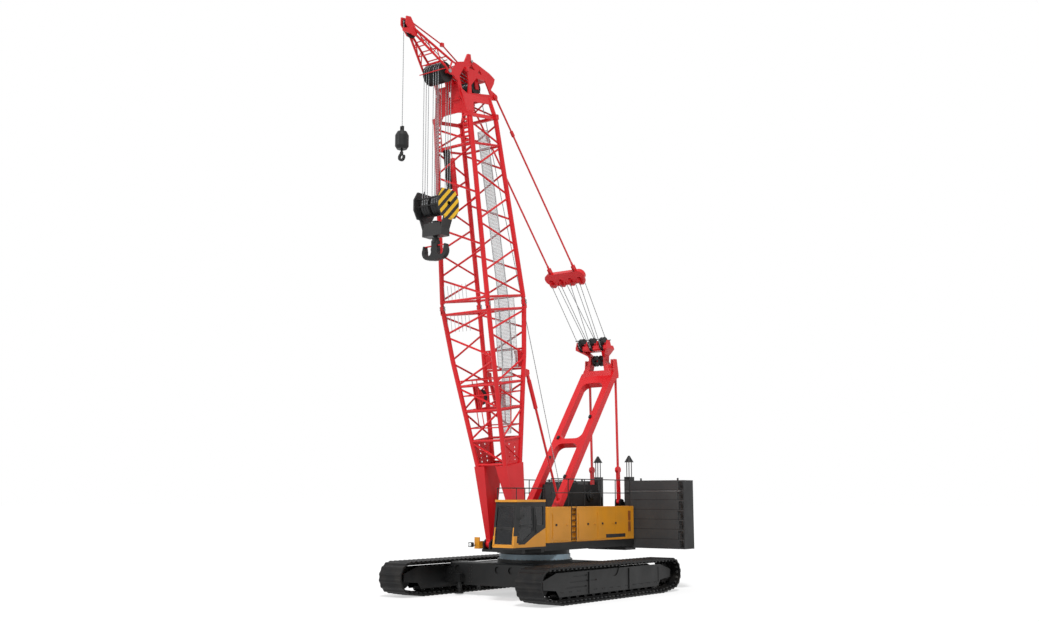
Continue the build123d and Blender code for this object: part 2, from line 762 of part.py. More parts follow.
def cab_profile(inset):
    low = CAB_FLOOR_Z + inset
    high = CAB_ROOF_Z - inset
    rear = CAB_REAR_X + inset
    return [(rear, low), (front_x(low) - inset, low), (front_x(high) - inset, high), (rear, high)]


def door_outline(gap):
    toe_top = DOOR_TOE_X + front_x(DOOR_TOP_Z) - front_x(DOOR_SILL_Z)
    return [
        (DOOR_REAR_X + gap, DOOR_HEEL_Z + gap),
        (DOOR_KNEE_X + gap, DOOR_SILL_Z + gap),
        (DOOR_TOE_X - gap, DOOR_SILL_Z + gap),
        (toe_top - gap, DOOR_TOP_Z - gap),
        (DOOR_REAR_X + gap, DOOR_TOP_Z - gap),
    ]


LOWER_PANE = [(3450, 2790), (4040, 2470), (4390, 2470), (4330, 2970), (3450, 2970)]
UPPER_PANE = [(3450, 3070), (4310, 3070), (4210, 3810), (3450, 3810)]
REAR_PANE = [(2700, 3070), (3220, 3070), (3220, 3810), (2700, 3810)]
RIGHT_PANE = [(2700, 2800), (4330, 2800), (4210, 3810), (2700, 3810)]
FRONT_PANES = ((2320, 2890), (2990, 3840))
TUB_SIDE = [
    (CAB_REAR_X - 30, 2950), (3300, 2640), (DOOR_KNEE_X - 50, 2310), (4380, 2310), (4450, 2650),
    (4900, 2650), (4900, 2000), (CAB_REAR_X - 30, 2000),
]


def cab_box():
    """The whole cab as one hollow shell with its door and windows cut."""
    shell = slab(cab_profile(0), CAB_INNER_Y, CAB_OUTER_Y)
    shell -= slab(cab_profile(CAB_WALL), CAB_INNER_Y + CAB_WALL, CAB_OUTER_Y - CAB_WALL)
    shell -= slab(door_outline(0), CAB_OUTER_Y - CAB_WALL - 1, CAB_OUTER_Y + 1)
    shell -= slab(REAR_PANE, CAB_OUTER_Y - CAB_WALL - 1, CAB_OUTER_Y + 1)
    shell -= slab(RIGHT_PANE, CAB_INNER_Y - 1, CAB_INNER_Y + CAB_WALL + 1)
    y0 = CAB_INNER_Y + CAB_POST
    y1 = CAB_OUTER_Y - CAB_POST
    for z0, z1 in FRONT_PANES:
        shell -= block(front_x(z1) - 2 * CAB_WALL, CAB_FRONT_BOTTOM_X + 80, y0, y1, z0, z1)
    return shell - block(CAB_REAR_X - 30, CAB_REAR_X + CAB_WALL + 20, y0, y1, 3000, 3820)


def cab_door_axis():
    return (DOOR_REAR_X + 20, CAB_OUTER_Y + HINGE_OFFSET)


def cab_parts():
    box = cab_box()
    lower = slab(TUB_SIDE, CAB_INNER_Y - 10, CAB_OUTER_Y + 10)
    x, y = cab_door_axis()
    pins = hinge_fixed(x, y, DOOR_REAR_X - 40, CAB_OUTER_Y, 2900, 3700)
    frame = fuse([box - lower] + pins)
    tub = box & lower
    step_bottom = CAB_FLOOR_Z - CAB_STEP
    step = block(CAB_REAR_X, CAB_FRONT_BOTTOM_X, CAB_INNER_Y, CAB_OUTER_Y, step_bottom, CAB_FLOOR_Z)
    return frame, tub, step


def cab_carrier():
    low = DECK_BOTTOM_Z + 20
    top = CAB_FLOOR_Z - CAB_STEP
    return fuse([
        block(1500, 4100, 1110, 1500, low, top),
        block(2600, 2800, 1500, 2380, low, top),
        block(3900, 4100, 1500, 2380, low, top),
    ])


def cab_roof():
    """A thin overhanging slab."""
    over = 25
    y0 = CAB_INNER_Y - over
    y1 = CAB_OUTER_Y + over
    roof = block(CAB_REAR_X - over, CAB_FRONT_TOP_X + 70, y0, y1, CAB_ROOF_Z, CAB_ROOF_Z + CAB_ROOF)
    return fillet(roof.edges().filter_by(Axis.Z), 60)


def cab_rail():
    """Guard rail round the roof."""
    base = CAB_ROOF_Z + CAB_ROOF
    top = base + 470
    corners = [
        (CAB_REAR_X + 70, CAB_INNER_Y + 55), (CAB_FRONT_TOP_X - 30, CAB_INNER_Y + 55),
        (CAB_FRONT_TOP_X - 30, CAB_OUTER_Y - 50), (CAB_REAR_X + 70, CAB_OUTER_Y - 50),
    ]
    rails = []
    for i, (x, y) in enumerate(corners):
        nx, ny = corners[(i + 1) % 4]
        rails.append(bar((x, y, base), (x, y, top), 18, 8))
        rails.append(bar((x, y, top), (nx, ny, top), 18, 8))
    return fuse(rails)


def cab_glass():
    y0 = CAB_INNER_Y + CAB_POST
    y1 = CAB_OUTER_Y - CAB_POST
    panes = []
    for z0, z1 in FRONT_PANES:
        low = front_x(z0) - 20
        high = front_x(z1) - 20
        panes.append(slab([(low, z0), (high, z1), (high - GLASS, z1), (low - GLASS, z0)], y0, y1))
    panes.append(slab(REAR_PANE, CAB_OUTER_Y - 20 - GLASS, CAB_OUTER_Y - 20))
    panes.append(slab(RIGHT_PANE, CAB_INNER_Y + 20, CAB_INNER_Y + 20 + GLASS))
    panes.append(block(CAB_REAR_X + 20, CAB_REAR_X + 20 + GLASS, y0, y1, 3000, 3820))
    return panes


def cab_door():
    back = CAB_OUTER_Y - 40
    frame = slab(door_outline(5), back, CAB_OUTER_Y)
    for pane in (LOWER_PANE, UPPER_PANE):
        frame -= slab(pane, back - 10, CAB_OUTER_Y + 10)
    handle = block(4180, 4300, CAB_OUTER_Y, CAB_OUTER_Y + 30, 3000, 3040)
    x, y = cab_door_axis()
    for low in (2839, 3699):
        frame -= block(x - 30, x + HINGE_RADIUS, back - 1, CAB_OUTER_Y + 1, low, low + 62)
    return fuse([frame, handle, hinge_barrel(x, y, 2900, 3700)])


def cab_door_glass():
    return [slab(pane, CAB_OUTER_Y - 16 - GLASS, CAB_OUTER_Y - 16) for pane in (LOWER_PANE, UPPER_PANE)]


def cab_seat():
    z = CAB_FLOOR_Z + CAB_WALL
    y = (CAB_INNER_Y + CAB_OUTER_Y) / 2
    return fuse([
        block(3150, 3600, y - 150, y + 150, z, z + 330),
        block(3050, 3650, y - 260, y + 260, z + 330, z + 460),
        block(2950, 3080, y - 250, y + 250, z + 400, z + 1150),
        block(3200, 3700, y - 390, y - 290, z, z + 620),
        block(3200, 3700, y + 290, y + 390, z + 500, z + 620),
        block(3200, 3300, y + 150, y + 390, z, z + 500),
        block(4250, 4380, y - 200, y + 200, z, z + 700),
    ])


def build_cab():
    frame, tub, step = cab_parts()
    save("cab_frame", frame)
    save("cab_tub", tub)
    save("cab_carrier", cab_carrier().fuse(step))
    save("cab_roof", cab_roof())
    save_group("cab_glass", cab_glass())
    save("cab_door", cab_door())
    save_group("cab_door_glass", cab_door_glass())
    save("cab_seat", cab_seat())


# ================= mast =================

def mast_frame():
    """Two legs joined by a middle and a head beam, as one thick plate with rounded windows."""
    length = math.hypot(MAST_HEAD[0] - MAST_PIN[0], MAST_HEAD[2] - MAST_PIN[2])
    half = MAST_Y + MAST_LEG / 2
    window = MAST_Y - MAST_LEG / 2
    middle = 5180
    beam = 300
    head = length - 520
    plane = Plane(origin=(-MAST_LEG / 2, 0, 0), x_dir=(0, 1, 0), z_dir=(1, 0, 0))
    outline = plane * Pos(0, (length + 130) / 2) * Rectangle(2 * half, length + 130)
    low_height = middle - beam / 2 + 900
    low = plane * Pos(0, middle - beam / 2 - low_height / 2) * RectangleRounded(2 * window, low_height, 330)
    high_height = head - middle - beam / 2
    high = plane * Pos(0, middle + beam / 2 + high_height / 2)
    high *= RectangleRounded(2 * window, high_height, 330)
    frame = extrude(outline - low - high, MAST_LEG)
    eyes = []
    for side in (1, -1):
        y0 = side * (MAST_Y - MAST_LEG / 2)
        y1 = side * (MAST_Y + MAST_LEG / 2)
        eyes.append(disc(0, 0, 190, y0, y1))
    frame = fuse([frame] + eyes)
    for side in (1, -1):
        y0 = side * (MAST_Y - MAST_LEG / 2 - 5)
        y1 = side * (MAST_Y + MAST_LEG / 2 + 5)
        frame -= disc(0, 0, MAST_PIN_RADIUS + PIN_CLEARANCE, y0, y1)
    return frame


def mast_neck():
    """An hourglass plate with a window, leaning forward to the bar that carries the sheaves."""
    waist = [(-860, 9900), (-760, 10250), (-480, 10700), (-480, 10980), (-900, 11260), (-900, 11420)]
    window = mirrored([(-430, 10250), (-360, 10600), (-360, 10980), (-520, 11180)])
    side_view = [
        (-5480, 9860), (-5060, 9860), (-5150, 10900), (-4620, 11240), (-4620, 11430), (-5200, 11430),
        (-5500, 11000), (-5480, 10250),
    ]
    neck = plate_yz(mirrored(waist), -5700, -4500) & slab(side_view, -950, 950)
    return neck - plate_yz(window, -5800, -4400)


def mast_cheeks():
    """Plates between and beside the three top sheaves."""
    x, z = MAST_SHEAVE
    outline = [(x - 230, z - 140), (x + 200, z - 140), (x + 110, z + 150), (x - 110, z + 150)]
    ys = (-895, -330, 270, 835)
    return [slab(outline, y, y + 60) for y in ys]


def stay_lugs():
    """Box lugs behind the head for the backstays' top pins."""
    x, _, z = BACKSTAY_TOP
    parts = []
    outline = [
        (x - 130, z - 110), (x + 320, z - 240), (x + 320, z + 40), (x + 250, z + 780), (x + 20, z + 780),
        (x - 130, z + 80),
    ]
    for side in (1, -1):
        for y0, y1 in ((BACKSTAY_Y - 105, BACKSTAY_Y - 45), (BACKSTAY_Y + 45, BACKSTAY_Y + 105)):
            parts.append(slab(outline, side * y0, side * y1))
        pin = disc(x, z, 45, side * (BACKSTAY_Y - 105), side * (BACKSTAY_Y + 105))
        parts.append(pin)
    return parts


def mast():
    body = fuse([in_mast(mast_frame()), mast_neck()] + mast_cheeks())
    x, z = MAST_SHEAVE
    for y in MAST_SHEAVE_YS:
        body -= disc(x, z, MAST_SHEAVE_RADIUS + 20, y - 95, y + 95)
    shafts = [disc(x, z, 50, -880, 880)]
    nx, nz = NECK_SHEAVE
    shafts.append(disc(nx, nz, 45, -470, 470))
    return fuse([body] + shafts + stay_lugs())


def mast_sheaves():
    x, z = MAST_SHEAVE
    shapes = [sheave(x, z, MAST_SHEAVE_RADIUS, y, 160, 50) for y in MAST_SHEAVE_YS]
    x, z = NECK_SHEAVE
    return shapes + [sheave(x, z, 270, y, 130, 45) for y in (-170, 170)]


def backstay(side):
    """Thin above, a thicker link below."""
    top = (BACKSTAY_TOP[0], BACKSTAY_TOP[2])
    foot = (BACKSTAY_FOOT[0], BACKSTAY_FOOT[2])
    y = side * BACKSTAY_Y
    knee = toward(top, foot, 0.75)
    parts = [
        strut(top, knee, 110, y - 35, y + 35),
        strut(knee, foot, 190, y - 60, y + 60),
        disc(top[0], top[1], 110, y - 40, y + 40),
        disc(foot[0], foot[1], 130, y - 60, y + 60),
        disc(knee[0], knee[1], 150, y - 80, y + 80),
    ]
    stay = fuse(parts)
    stay -= disc(top[0], top[1], 45 + PIN_CLEARANCE, y - 65, y + 65)
    return stay - disc(foot[0], foot[1], BACKSTAY_PIN, y - 65, y + 65)


def build_mast():
    save("mast", mast())
    save_group("mast_sheaves", mast_sheaves())
    save_group("mast_backstays", [backstay(1), backstay(-1)])


# ================= boom =================

LACE_OFFSET = 80
CHORD_SIDES = 12
LEG_PLATE_TOP = 4400
GUSSET_LOW = 7400
GUSSET_HIGH = 8250
BACKSTOP_Y = 1045
BACKSTOP_PIN = (-1240, 7200)
BACKSTOP_END = (-320, 4060)


def section_at(along):
    """Half width and half depth at the chords' centres."""
    for (s0, w0, d0), (s1, w1, d1) in zip(SECTIONS, SECTIONS[1:]):
        if along <= s1:
            break
    t = (along - s0) / (s1 - s0)
    return w0 + (w1 - w0) * t, d0 + (d1 - d0) * t


def chord_point(along, front, left):
    half_width, half_depth = section_at(along)
    return (front * half_depth, left * half_width, along)


def chord(ends, front, left):
    places = [chord_point(a, front, left) for a in ends]
    return fuse([bar(a, b, CHORD_RADIUS, CHORD_SIDES) for a, b in zip(places, places[1:])])


def cut(shape, tools):
    """What is left of a piece once others are taken out of it, without slivers."""
    for tool in tools:
        shape -= tool
    return shape.solids().sort_by(SortBy.VOLUME)[-1]


def diagonals(levels, first):
    """One tube a face in every bay, each face climbing the other way from its neighbour."""
    tubes = []
    for i, (a, b) in enumerate(zip(levels, levels[1:])):
        flip = first if i % 2 == 0 else -first
        low = a + LACE_OFFSET
        high = b - LACE_OFFSET
        for side in (1, -1):
            start = chord_point(low, side, side * flip)
            stop = chord_point(high, side, -side * flip)
            tubes.append(bar(start, stop, LACE_RADIUS))
            start = chord_point(low, -side * flip, side)
            stop = chord_point(high, side * flip, side)
            tubes.append(bar(start, stop, LACE_RADIUS))
    return tubes


def square_frames(levels):
    tubes = []
    for a in levels:
        for side in (1, -1):
            tubes.append(bar(chord_point(a, side, -1), chord_point(a, side, 1), FRAME_RADIUS, 8))
            tubes.append(bar(chord_point(a, -1, side), chord_point(a, 1, side), FRAME_RADIUS, 8))
    return tubes


def lacing(base_chords, top_chords):
    """Every tube is a solid of its own, ending on the chords' skins."""
    base = diagonals(BASE_LEVELS, 1) + square_frames(BASE_FRAMES)
    for a in (GUSSET_LOW, GUSSET_HIGH):
        base.append(bar(chord_point(a, -1, -1), chord_point(a, -1, 1), LACE_RADIUS))
    top = diagonals(TOP_LEVELS, 1) + square_frames(TOP_FRAMES)
    return [cut(tube, base_chords) for tube in base] + [cut(tube, top_chords) for tube in top]


def cheek_lugs(front, left):
    """Two cheeks on the end of a base chord."""
    x, y, _ = chord_point(10250, front, left)
    parts = []
    for side in (1, -1):
        parts.append(block(x - 70, x + 70, y + side * 40, y + side * 80, JOINT_LOW - 80, JOINT_LOW + 300))
    return parts


def tongue_lug(front, left):
    """The tongue on the end of a top chord, between the cheeks."""
    x, y, _ = chord_point(10250, front, left)
    return block(x - 70, x + 70, y - 40, y + 40, JOINT_HIGH - 300, JOINT_HIGH + 20)


def face_plane(along, front, left):
    """A plane on one face of the base, its second axis climbing with the chords."""
    x0, y0, _ = chord_point(along, front or 1, left or 1)
    x1, y1, _ = chord_point(along + 1000, front or 1, left or 1)
    if front:
        climb = Vector(x1 - x0, 0, 1000).normalized()
        return Plane(origin=(x0, 0, along), x_dir=(0, 1, 0), z_dir=(climb.Z, 0, -climb.X))
    climb = Vector(0, y1 - y0, 1000).normalized()
    return Plane(origin=(0, y0, along), x_dir=(1, 0, 0), z_dir=(0, -climb.Z, climb.Y))


def gusset(left):
    """The broad plate beside a rear chord, hollowed on its inner edge."""
    plane = face_plane(GUSSET_LOW, -1, 0)
    height = GUSSET_HIGH - GUSSET_LOW
    w0 = section_at(GUSSET_LOW)[0]
    w1 = section_at(GUSSET_HIGH)[0]
    points = [(w0, 60), (w1, height - 60), (560, height - 60), (640, height - 260), (650, 300), (560, 60)]
    outline = make_face(Polyline(*[(left * y, t) for y, t in points], close=True))
    return extrude(plane * outline, 15, both=True)


def backstop_lugs(side):
    """Two plates behind a rear chord for the backstop's pin."""
    n, s = BACKSTOP_PIN
    outline = [(n - 90, s - 90), (n - 90, s + 90), (n + 300, s + 220), (n + 300, s - 220)]
    y = side * BACKSTOP_Y
    return [slab(outline, y + edge * 45, y + edge * 75) for edge in (1, -1)]


def base_chords():
    shapes = []
    for front in (1, -1):
        for left in (1, -1):
            parts = [chord((LEG_TOP, 8000, JOINT_LOW), front, left)] + cheek_lugs(front, left)
            if front < 0:
                parts += [gusset(left)] + backstop_lugs(left)
            shapes.append(fuse(parts))
    return shapes


def top_chords():
    shapes = []
    for front in (1, -1):
        for left in (1, -1):
            parts = [chord((JOINT_HIGH, HEAD_JOINT), front, left), tongue_lug(front, left)]
            shapes.append(fuse(parts))
    return shapes


def leg_plate(side):
    """The perforated plate over the lowest bay of a side face."""
    plane = face_plane(LEG_TOP + 60, 0, side)
    height = LEG_PLATE_TOP - LEG_TOP
    d0 = section_at(LEG_TOP + 60)[1]
    d1 = section_at(LEG_PLATE_TOP)[1]
    outline = make_face(Polyline((-d0, 0), (d0, 0), (d1, height), (-d1, height), close=True))
    for n in (-190, 190):
        for i in range(5):
            outline -= Pos(n, 160 + 180 * i) * RegularPolygon(38, 8)
    return extrude(plane * outline, 10, both=True)


def boom_leg(side):
    half = LEG_WIDTH / 2
    outer = section_at(LEG_TOP)[0] + 115
    middle = side * (outer + LEG_TOP_INNER_Y) / 2
    depth = 2 * section_at(LEG_TOP)[1] + 230
    top = Plane(origin=(0, middle, LEG_TOP + 60)) * Rectangle(depth, outer - LEG_TOP_INNER_Y)
    foot = Plane(origin=(0, side * LEG_Y, 250)) * Rectangle(330, LEG_WIDTH)
    parts = [loft([foot, top])]
    y0 = side * (LEG_Y - half)
    y1 = side * (LEG_Y + half)
    parts.append(block(-165, 165, y0, y1, 0, 250))
    parts.append(rod((0, min(y0, y1), 0), (0, max(y0, y1), 0), 210))
    leg = fuse(parts)
    return leg - rod((0, min(y0, y1) - 5, 0), (0, max(y0, y1) + 5, 0), BOOM_PIN_RADIUS + PIN_CLEARANCE)


GUIDES = (
    # forward, across, along, radius, then where its brackets reach the frames' tubes
    (480, -190, 6350, 330, 1),
    (-500, 0, 6430, 270, -1),
)


def guide_bracket(row):
    """Two plates from frame to frame that hold a guide sheave's shaft."""
    n, y, s, radius, front = row
    low = front * section_at(5800)[1]
    high = front * section_at(6870)[1]
    outline = [
        (low, 5800), (high, 6870), (high - front * 160, 6870), (n - front * 60, s + 130),
        (n - front * 90, s), (n - front * 60, s - 130), (low - front * 160, 5800),
    ]
    plates = [slab(outline, y + edge * 38, y + edge * 53) for edge in (1, -1)]
    shaft = disc(n, s, 45, y - 53, y + 53)
    return fuse(plates + [shaft])


def guide_sheaves():
    return [sheave(n, s, radius, y, 70, 45) for n, y, s, radius, front in GUIDES]


# ---- head ----
WEB_OUTLINE = (
    (985, 18250), (1000, 18900), (1040, 19350), (1120, 19760), (1320, 19930), (1560, 19960), (1700, 20020),
    (1725, 20110), (1650, 20190), (1400, 20230), (1200, 20330), (1050, 20540),
    (560, 20620), (120, 20760), (-330, 20640), (-800, 20460), (-1150, 20330), (-1500, 20120), (-1400, 19900),
    (-1150, 19600), (-1510, 19430), (-1510, 19170), (-1100, 19150), (-300, 18960), (400, 18780), (820, 18500),
    (880, 18250),
)
WEB_WINDOWS = (
    ((230, 19300), (200, 19660), (-200, 20000), (-800, 19950), (-950, 19650), (-1080, 19380)),
    ((480, 19250), (860, 19420), (960, 19950), (620, 20330), (400, 20200), (370, 19700)),
    ((-150, 20330), (250, 20380), (60, 20560)),
    ((-600, 20190), (-320, 20240), (-460, 20400)),
)
HORN = (
    (-150, 20690), (-560, 21260), (-740, 21260), (-760, 20850), (-1100, 20500), (-1450, 20180),
    (-1450, 20110), (-330, 20610),
)


def head_web(side):
    """A side web, open where the rear sheaves show."""
    y0 = side * (WEB_Y - WEB_PLATE / 2)
    y1 = side * (WEB_Y + WEB_PLATE / 2)
    web = slab(WEB_OUTLINE, y0, y1)
    over = (y0 - side * 5, y1 + side * 5)
    for window in WEB_WINDOWS:
        web -= slab(window, *over)
    return web


def head_front():
    """The front plate, arched below, with two round holes and a slot."""
    low = section_at(HEAD_JOINT)[0] - 20
    outline = mirrored([(-640, 19650), (-low, 18200), (-low + 60, 18200), (-640, 18380), (-330, 18440)])
    plate = plate_yz(outline, 905, 985)
    for y, s, radius in ((40, 18800, 170), (-30, 19270, 140)):
        plate -= rod((900, y, s), (990, y, s), radius)
    return plate - block(900, 990, -550, -470, 19200, 19520)


def side_cheek(side):
    """The slanted side plate from the chords in to the webs, with a window."""
    low = section_at(HEAD_JOINT)[0]
    run = low - WEB_Y
    rise = 19250 - HEAD_JOINT
    length = math.hypot(run, rise)
    climb = Vector(0, -side * run / length, rise / length)
    plane = Plane(origin=(0, side * low, HEAD_JOINT), x_dir=(1, 0, 0), z_dir=(0, -climb.Z, climb.Y))
    outline = Polyline((-985, 0), (985, 0), (1000, length * 0.7), (1100, length), (-1000, length), close=True)
    window = Polyline((-760, 160), (560, 160), (300, length * 0.68), (-800, length * 0.68), close=True)
    return extrude(plane * (make_face(outline) - make_face(window)), 25, both=True)


def head_rear():
    """Crossed bars and the last of the rear chords, open between."""
    low = section_at(HEAD_JOINT)[0]
    parts = []
    for side in (1, -1):
        parts.append(bar((-900, side * low, HEAD_JOINT + 60), (-980, side * WEB_Y, 19250), 75, 8))
        parts.append(bar((-900, side * low, HEAD_JOINT + 120), (-980, -side * WEB_Y, 19200), 40))
    return parts


def head_collars():
    """Four corner blocks that meet the top section's chords."""
    parts = []
    for front in (1, -1):
        for side in (1, -1):
            x, y, _ = chord_point(HEAD_JOINT, front, side)
            parts.append(block(x - 105, x + 105, y - 105, y + 105, HEAD_JOINT, HEAD_JOINT + 220))
    parts.append(block(-970, -790, -860, 860, HEAD_JOINT + 20, HEAD_JOINT + 140))
    return parts


def head_shafts():
    reach_y = WEB_Y + 10
    parts = []
    for (n, s), radius in ((MAIN_SHEAVE, MAIN_SHAFT), ((50, 20690), 45), ((1000, 18990), 45)):
        parts.append(disc(n, s, radius, -reach_y, reach_y))
    parts.append(disc(PENDANT_LUG[0], PENDANT_LUG[1], PENDANT_PIN, -715, 715))
    n, s = REAR_SHEAVE
    parts.append(disc(n, s, REAR_SHAFT, -435, 435))
    bearer = [(n - 110, s - 90), (n + 110, s - 90), (n + 130, 20600), (n - 130, 20500)]
    for side in (1, -1):
        parts.append(slab(bearer, side * 395, side * 435))
    return parts


def boom_head():
    inner = WEB_Y - WEB_PLATE / 2 + 10
    roof = [(-300, 20640), (-1480, 20130), (-1480, 20080), (-1150, 20230), (-300, 20580)]
    parts = [head_web(1), head_web(-1), side_cheek(1), side_cheek(-1), head_front()]
    parts += [slab(roof, -inner, inner), slab(HORN, -40, 40)]
    parts += head_rear() + head_collars() + head_shafts()
    return fuse(parts)


def sheave_row(place, radius, ys, width, shaft):
    return fuse([sheave(place[0], place[1], radius, y, width, shaft) for y in ys])


# ---- jib ----
JIB_LOW = (1800, 605, 20290)
JIB_HIGH = (1300, 605, 20540)
JIB_TIP_LOW = (3000, 140, 21560)
JIB_TIP_HIGH = (3060, 140, 21800)
JIB_PLATE = ((2860, 21440), (3160, 21480), (3480, 21900), (3420, 22220), (3160, 22220), (2880, 21720))
JIB_KNEE = (1130, 0, 21400)
JIB_BAYS = ((0.15, 0.4), (0.4, 0.4), (0.4, 0.65), (0.65, 0.65), (0.65, 0.88))


def jib_side(side):
    flip = (1, side, 1)
    places = (JIB_LOW, JIB_HIGH, JIB_TIP_LOW, JIB_TIP_HIGH)
    low, high, tip_low, tip_high = [tuple(p * q for p, q in zip(place, flip)) for place in places]
    parts = [bar(low, tip_low, 50, 8), bar(high, tip_high, 50, 8)]
    parts.append(slab(JIB_PLATE, side * 110, side * 170))
    for t0, t1 in JIB_BAYS:
        parts.append(bar(toward(low, tip_low, t0), toward(high, tip_high, t1), 24))
    return parts


def jib():
    parts = jib_side(1) + jib_side(-1)
    for t in (0.15, 0.4, 0.65):
        for start, stop in ((JIB_LOW, JIB_TIP_LOW), (JIB_HIGH, JIB_TIP_HIGH)):
            a = toward(start, stop, t)
            parts.append(bar((a[0], -a[1], a[2]), a, 28))
    parts.append(bar((3200, 0, 22160), JIB_KNEE, 32, 8))
    parts.append(bar(JIB_KNEE, (50, 0, 20690), 32, 8))
    parts.append(block(1050, 1210, -60, 60, 21320, 21480))
    parts.append(slab([(3150, 21500), (3700, 21560), (3700, 21680), (3250, 21760)], 110, 170))
    for n, s in ((3220, 22160), TIP_SHEAVE, TOP_SHEAVE):
        parts.append(disc(n, s, JIB_SHAFT, -165, 165))
    return fuse(parts)


def jib_sheaves():
    return [
        sheave(TIP_SHEAVE[0], TIP_SHEAVE[1], 260, 0, 90, JIB_SHAFT),
        sheave(TOP_SHEAVE[0], TOP_SHEAVE[1], TOP_SHEAVE_RADIUS, 0, 90, JIB_SHAFT),
    ]


# ---- along the boom ----
WALKWAY_ROWS = (
    (4700, -300),
    (7900, -900),
    (JOINT_LOW - 150, -1010),
    (JOINT_HIGH + 150, -1010),
    (17800, -690),
)
WALKWAY_HANGERS = (
    (5800, -506),
    (6870, -707),
    (GUSSET_HIGH, -925),
    (9980, -1010),
    (10530, -1010),
    (17050, -722),
)
WALKWAY_Y = (70, 570)


def walkway():
    """Catwalk up the inside of the back face, hung from it by short bars."""
    parts = []
    for (s0, x0), (s1, x1) in zip(WALKWAY_ROWS, WALKWAY_ROWS[1:]):
        parts.append(slab([(x0 - 20, s0), (x1 - 20, s1), (x1 + 20, s1), (x0 + 20, s0)], *WALKWAY_Y))
    middle = sum(WALKWAY_Y) / 2
    for s, x in WALKWAY_HANGERS:
        depth = section_at(s)[1]
        parts.append(rod((-depth, middle, s), (x, middle, s), 30))
    return fuse(parts)


def backstop(side):
    """A sleeve and a thinner rod, pinned behind the boom, its lower end free over the house."""
    x, z = boom_point(*BACKSTOP_PIN)
    pin = (x, z)
    y = side * BACKSTOP_Y
    steps = {t: toward(pin, BACKSTOP_END, t) for t in (0.04, 0.06, 0.28, 0.985)}
    tubes = ((0.06, 0.28, 92), (0.28, 0.985, 55))
    parts = []
    for t0, t1, radius in tubes:
        a = steps[t0]
        b = steps[t1]
        parts.append(bar((a[0], y, a[1]), (b[0], y, b[1]), radius, 12))
    a = steps[0.985]
    parts.append(rod((a[0], y, a[1]), (BACKSTOP_END[0], y, BACKSTOP_END[1]), 85))
    parts.append(strut(pin, toward(pin, BACKSTOP_END, 0.07), 130, y - 40, y + 40))
    parts.append(disc(x, z, 80, y - 45, y + 45))
    return fuse(parts)


def build_boom():
    legs = [boom_leg(1), boom_leg(-1)]
    chords = [cut(shape, legs) for shape in base_chords()]
    tops = top_chords()
    tubes = lacing(chords, tops)
    plates = [cut(leg_plate(side), chords) for side in (1, -1)]
    legs = [leg.fuse(plate) for leg, plate in zip(legs, plates)]
    frames = square_frames((5800, 6870))
    brackets = [cut(guide_bracket(row), frames + tubes) for row in GUIDES]
    head = boom_head()
    save_group("boom_legs", [in_boom(s) for s in legs])
    save_group("base_chords", [in_boom(s) for s in chords])
    save_group("top_chords", [in_boom(s - head) for s in tops])
    save_group("boom_lacing", [in_boom(cut(s, plates)) for s in tubes + brackets])
    save("boom_head", in_boom(head))
    front = sheave_row(MAIN_SHEAVE, MAIN_SHEAVE_RADIUS, MAIN_SHEAVE_YS, 130, MAIN_SHAFT)
    save("main_sheaves", in_boom(front))
    rear = sheave_row(REAR_SHEAVE, REAR_SHEAVE_RADIUS, REAR_SHEAVE_YS, 110, REAR_SHAFT)
    save_group("boom_sheaves", [in_boom(s) for s in [rear] + guide_sheaves()])
    save("boom_walkway", in_boom(cut(walkway(), tubes)))
    save_group("boom_backstops", [backstop(1), backstop(-1)])
    save("jib", in_boom(jib() - head))
    save_group("jib_sheaves", [in_boom(s) for s in jib_sheaves()])


# ================= bridle: pendants and spreader =================

SPREADER_DOWN = (-0.671, -0.741)
LINK_PIN = 40
SPREADER_SHEAVES = (-800, -270, 270, 800)


def down_bridle(distance):
    """World (x, z) below the pendants' lower pins."""
    return (BRIDLE_LOW[0] + SPREADER_DOWN[0] * distance, BRIDLE_LOW[1] + SPREADER_DOWN[1] * distance)


def pendant(side):
    y = side * PENDANT_Y
    a = boom_point(*PENDANT_LUG)
    b = BRIDLE_LOW
    parts = [
        strut(a, b, 70, y - 25, y + 25),
        disc(a[0], a[1], 120, y - 25, y + 25),
        disc(b[0], b[1], 90, y - 25, y + 25),
        strut(toward(a, b, 0.19), toward(a, b, 0.22), 130, y - 45, y + 45),
        strut(toward(a, b, 0.975), b, 110, y - 25, y + 25),
    ]
    stay = fuse(parts) - disc(a[0], a[1], PENDANT_PIN + PIN_CLEARANCE, y - 50, y + 50)
    return stay - disc(b[0], b[1], LINK_PIN + PIN_CLEARANCE, y - 50, y + 50)


def spreader():
    """A broad plate with round ends, slotted for its four sheaves, and double lugs above."""
    x, z = BRIDLE_LOW
    ux, uz = SPREADER_DOWN
    plane = Plane(origin=(x, 0, z), x_dir=(0, 1, 0), z_dir=(uz, 0, -ux))
    outline = plane * Pos(0, 480) * RectangleRounded(2 * SPREADER_HALF, 560, 270)
    body = extrude(outline, 110, both=True)
    sx, sz = down_bridle(760)
    for y in SPREADER_SHEAVES:
        body -= disc(sx, sz, 260, y - 75, y + 75)
    parts = [body, disc(sx, sz, 45, -950, 950)]
    for y in (-950, -535, -115, 35, 455, 870):
        parts.append(disc(sx, sz, 150, y, y + 80))
    for side in (1, -1):
        for y0, y1 in ((PENDANT_Y - 70, PENDANT_Y - 30), (PENDANT_Y + 30, PENDANT_Y + 70)):
            parts.append(strut((x - ux * 70, z - uz * 70), down_bridle(300), 170, side * y0, side * y1))
        parts.append(disc(x, z, LINK_PIN, side * (PENDANT_Y - 70), side * (PENDANT_Y + 70)))
    return fuse(parts)


def spreader_sheaves():
    sx, sz = down_bridle(760)
    return [sheave(sx, sz, 230, y, 130, 45) for y in SPREADER_SHEAVES]


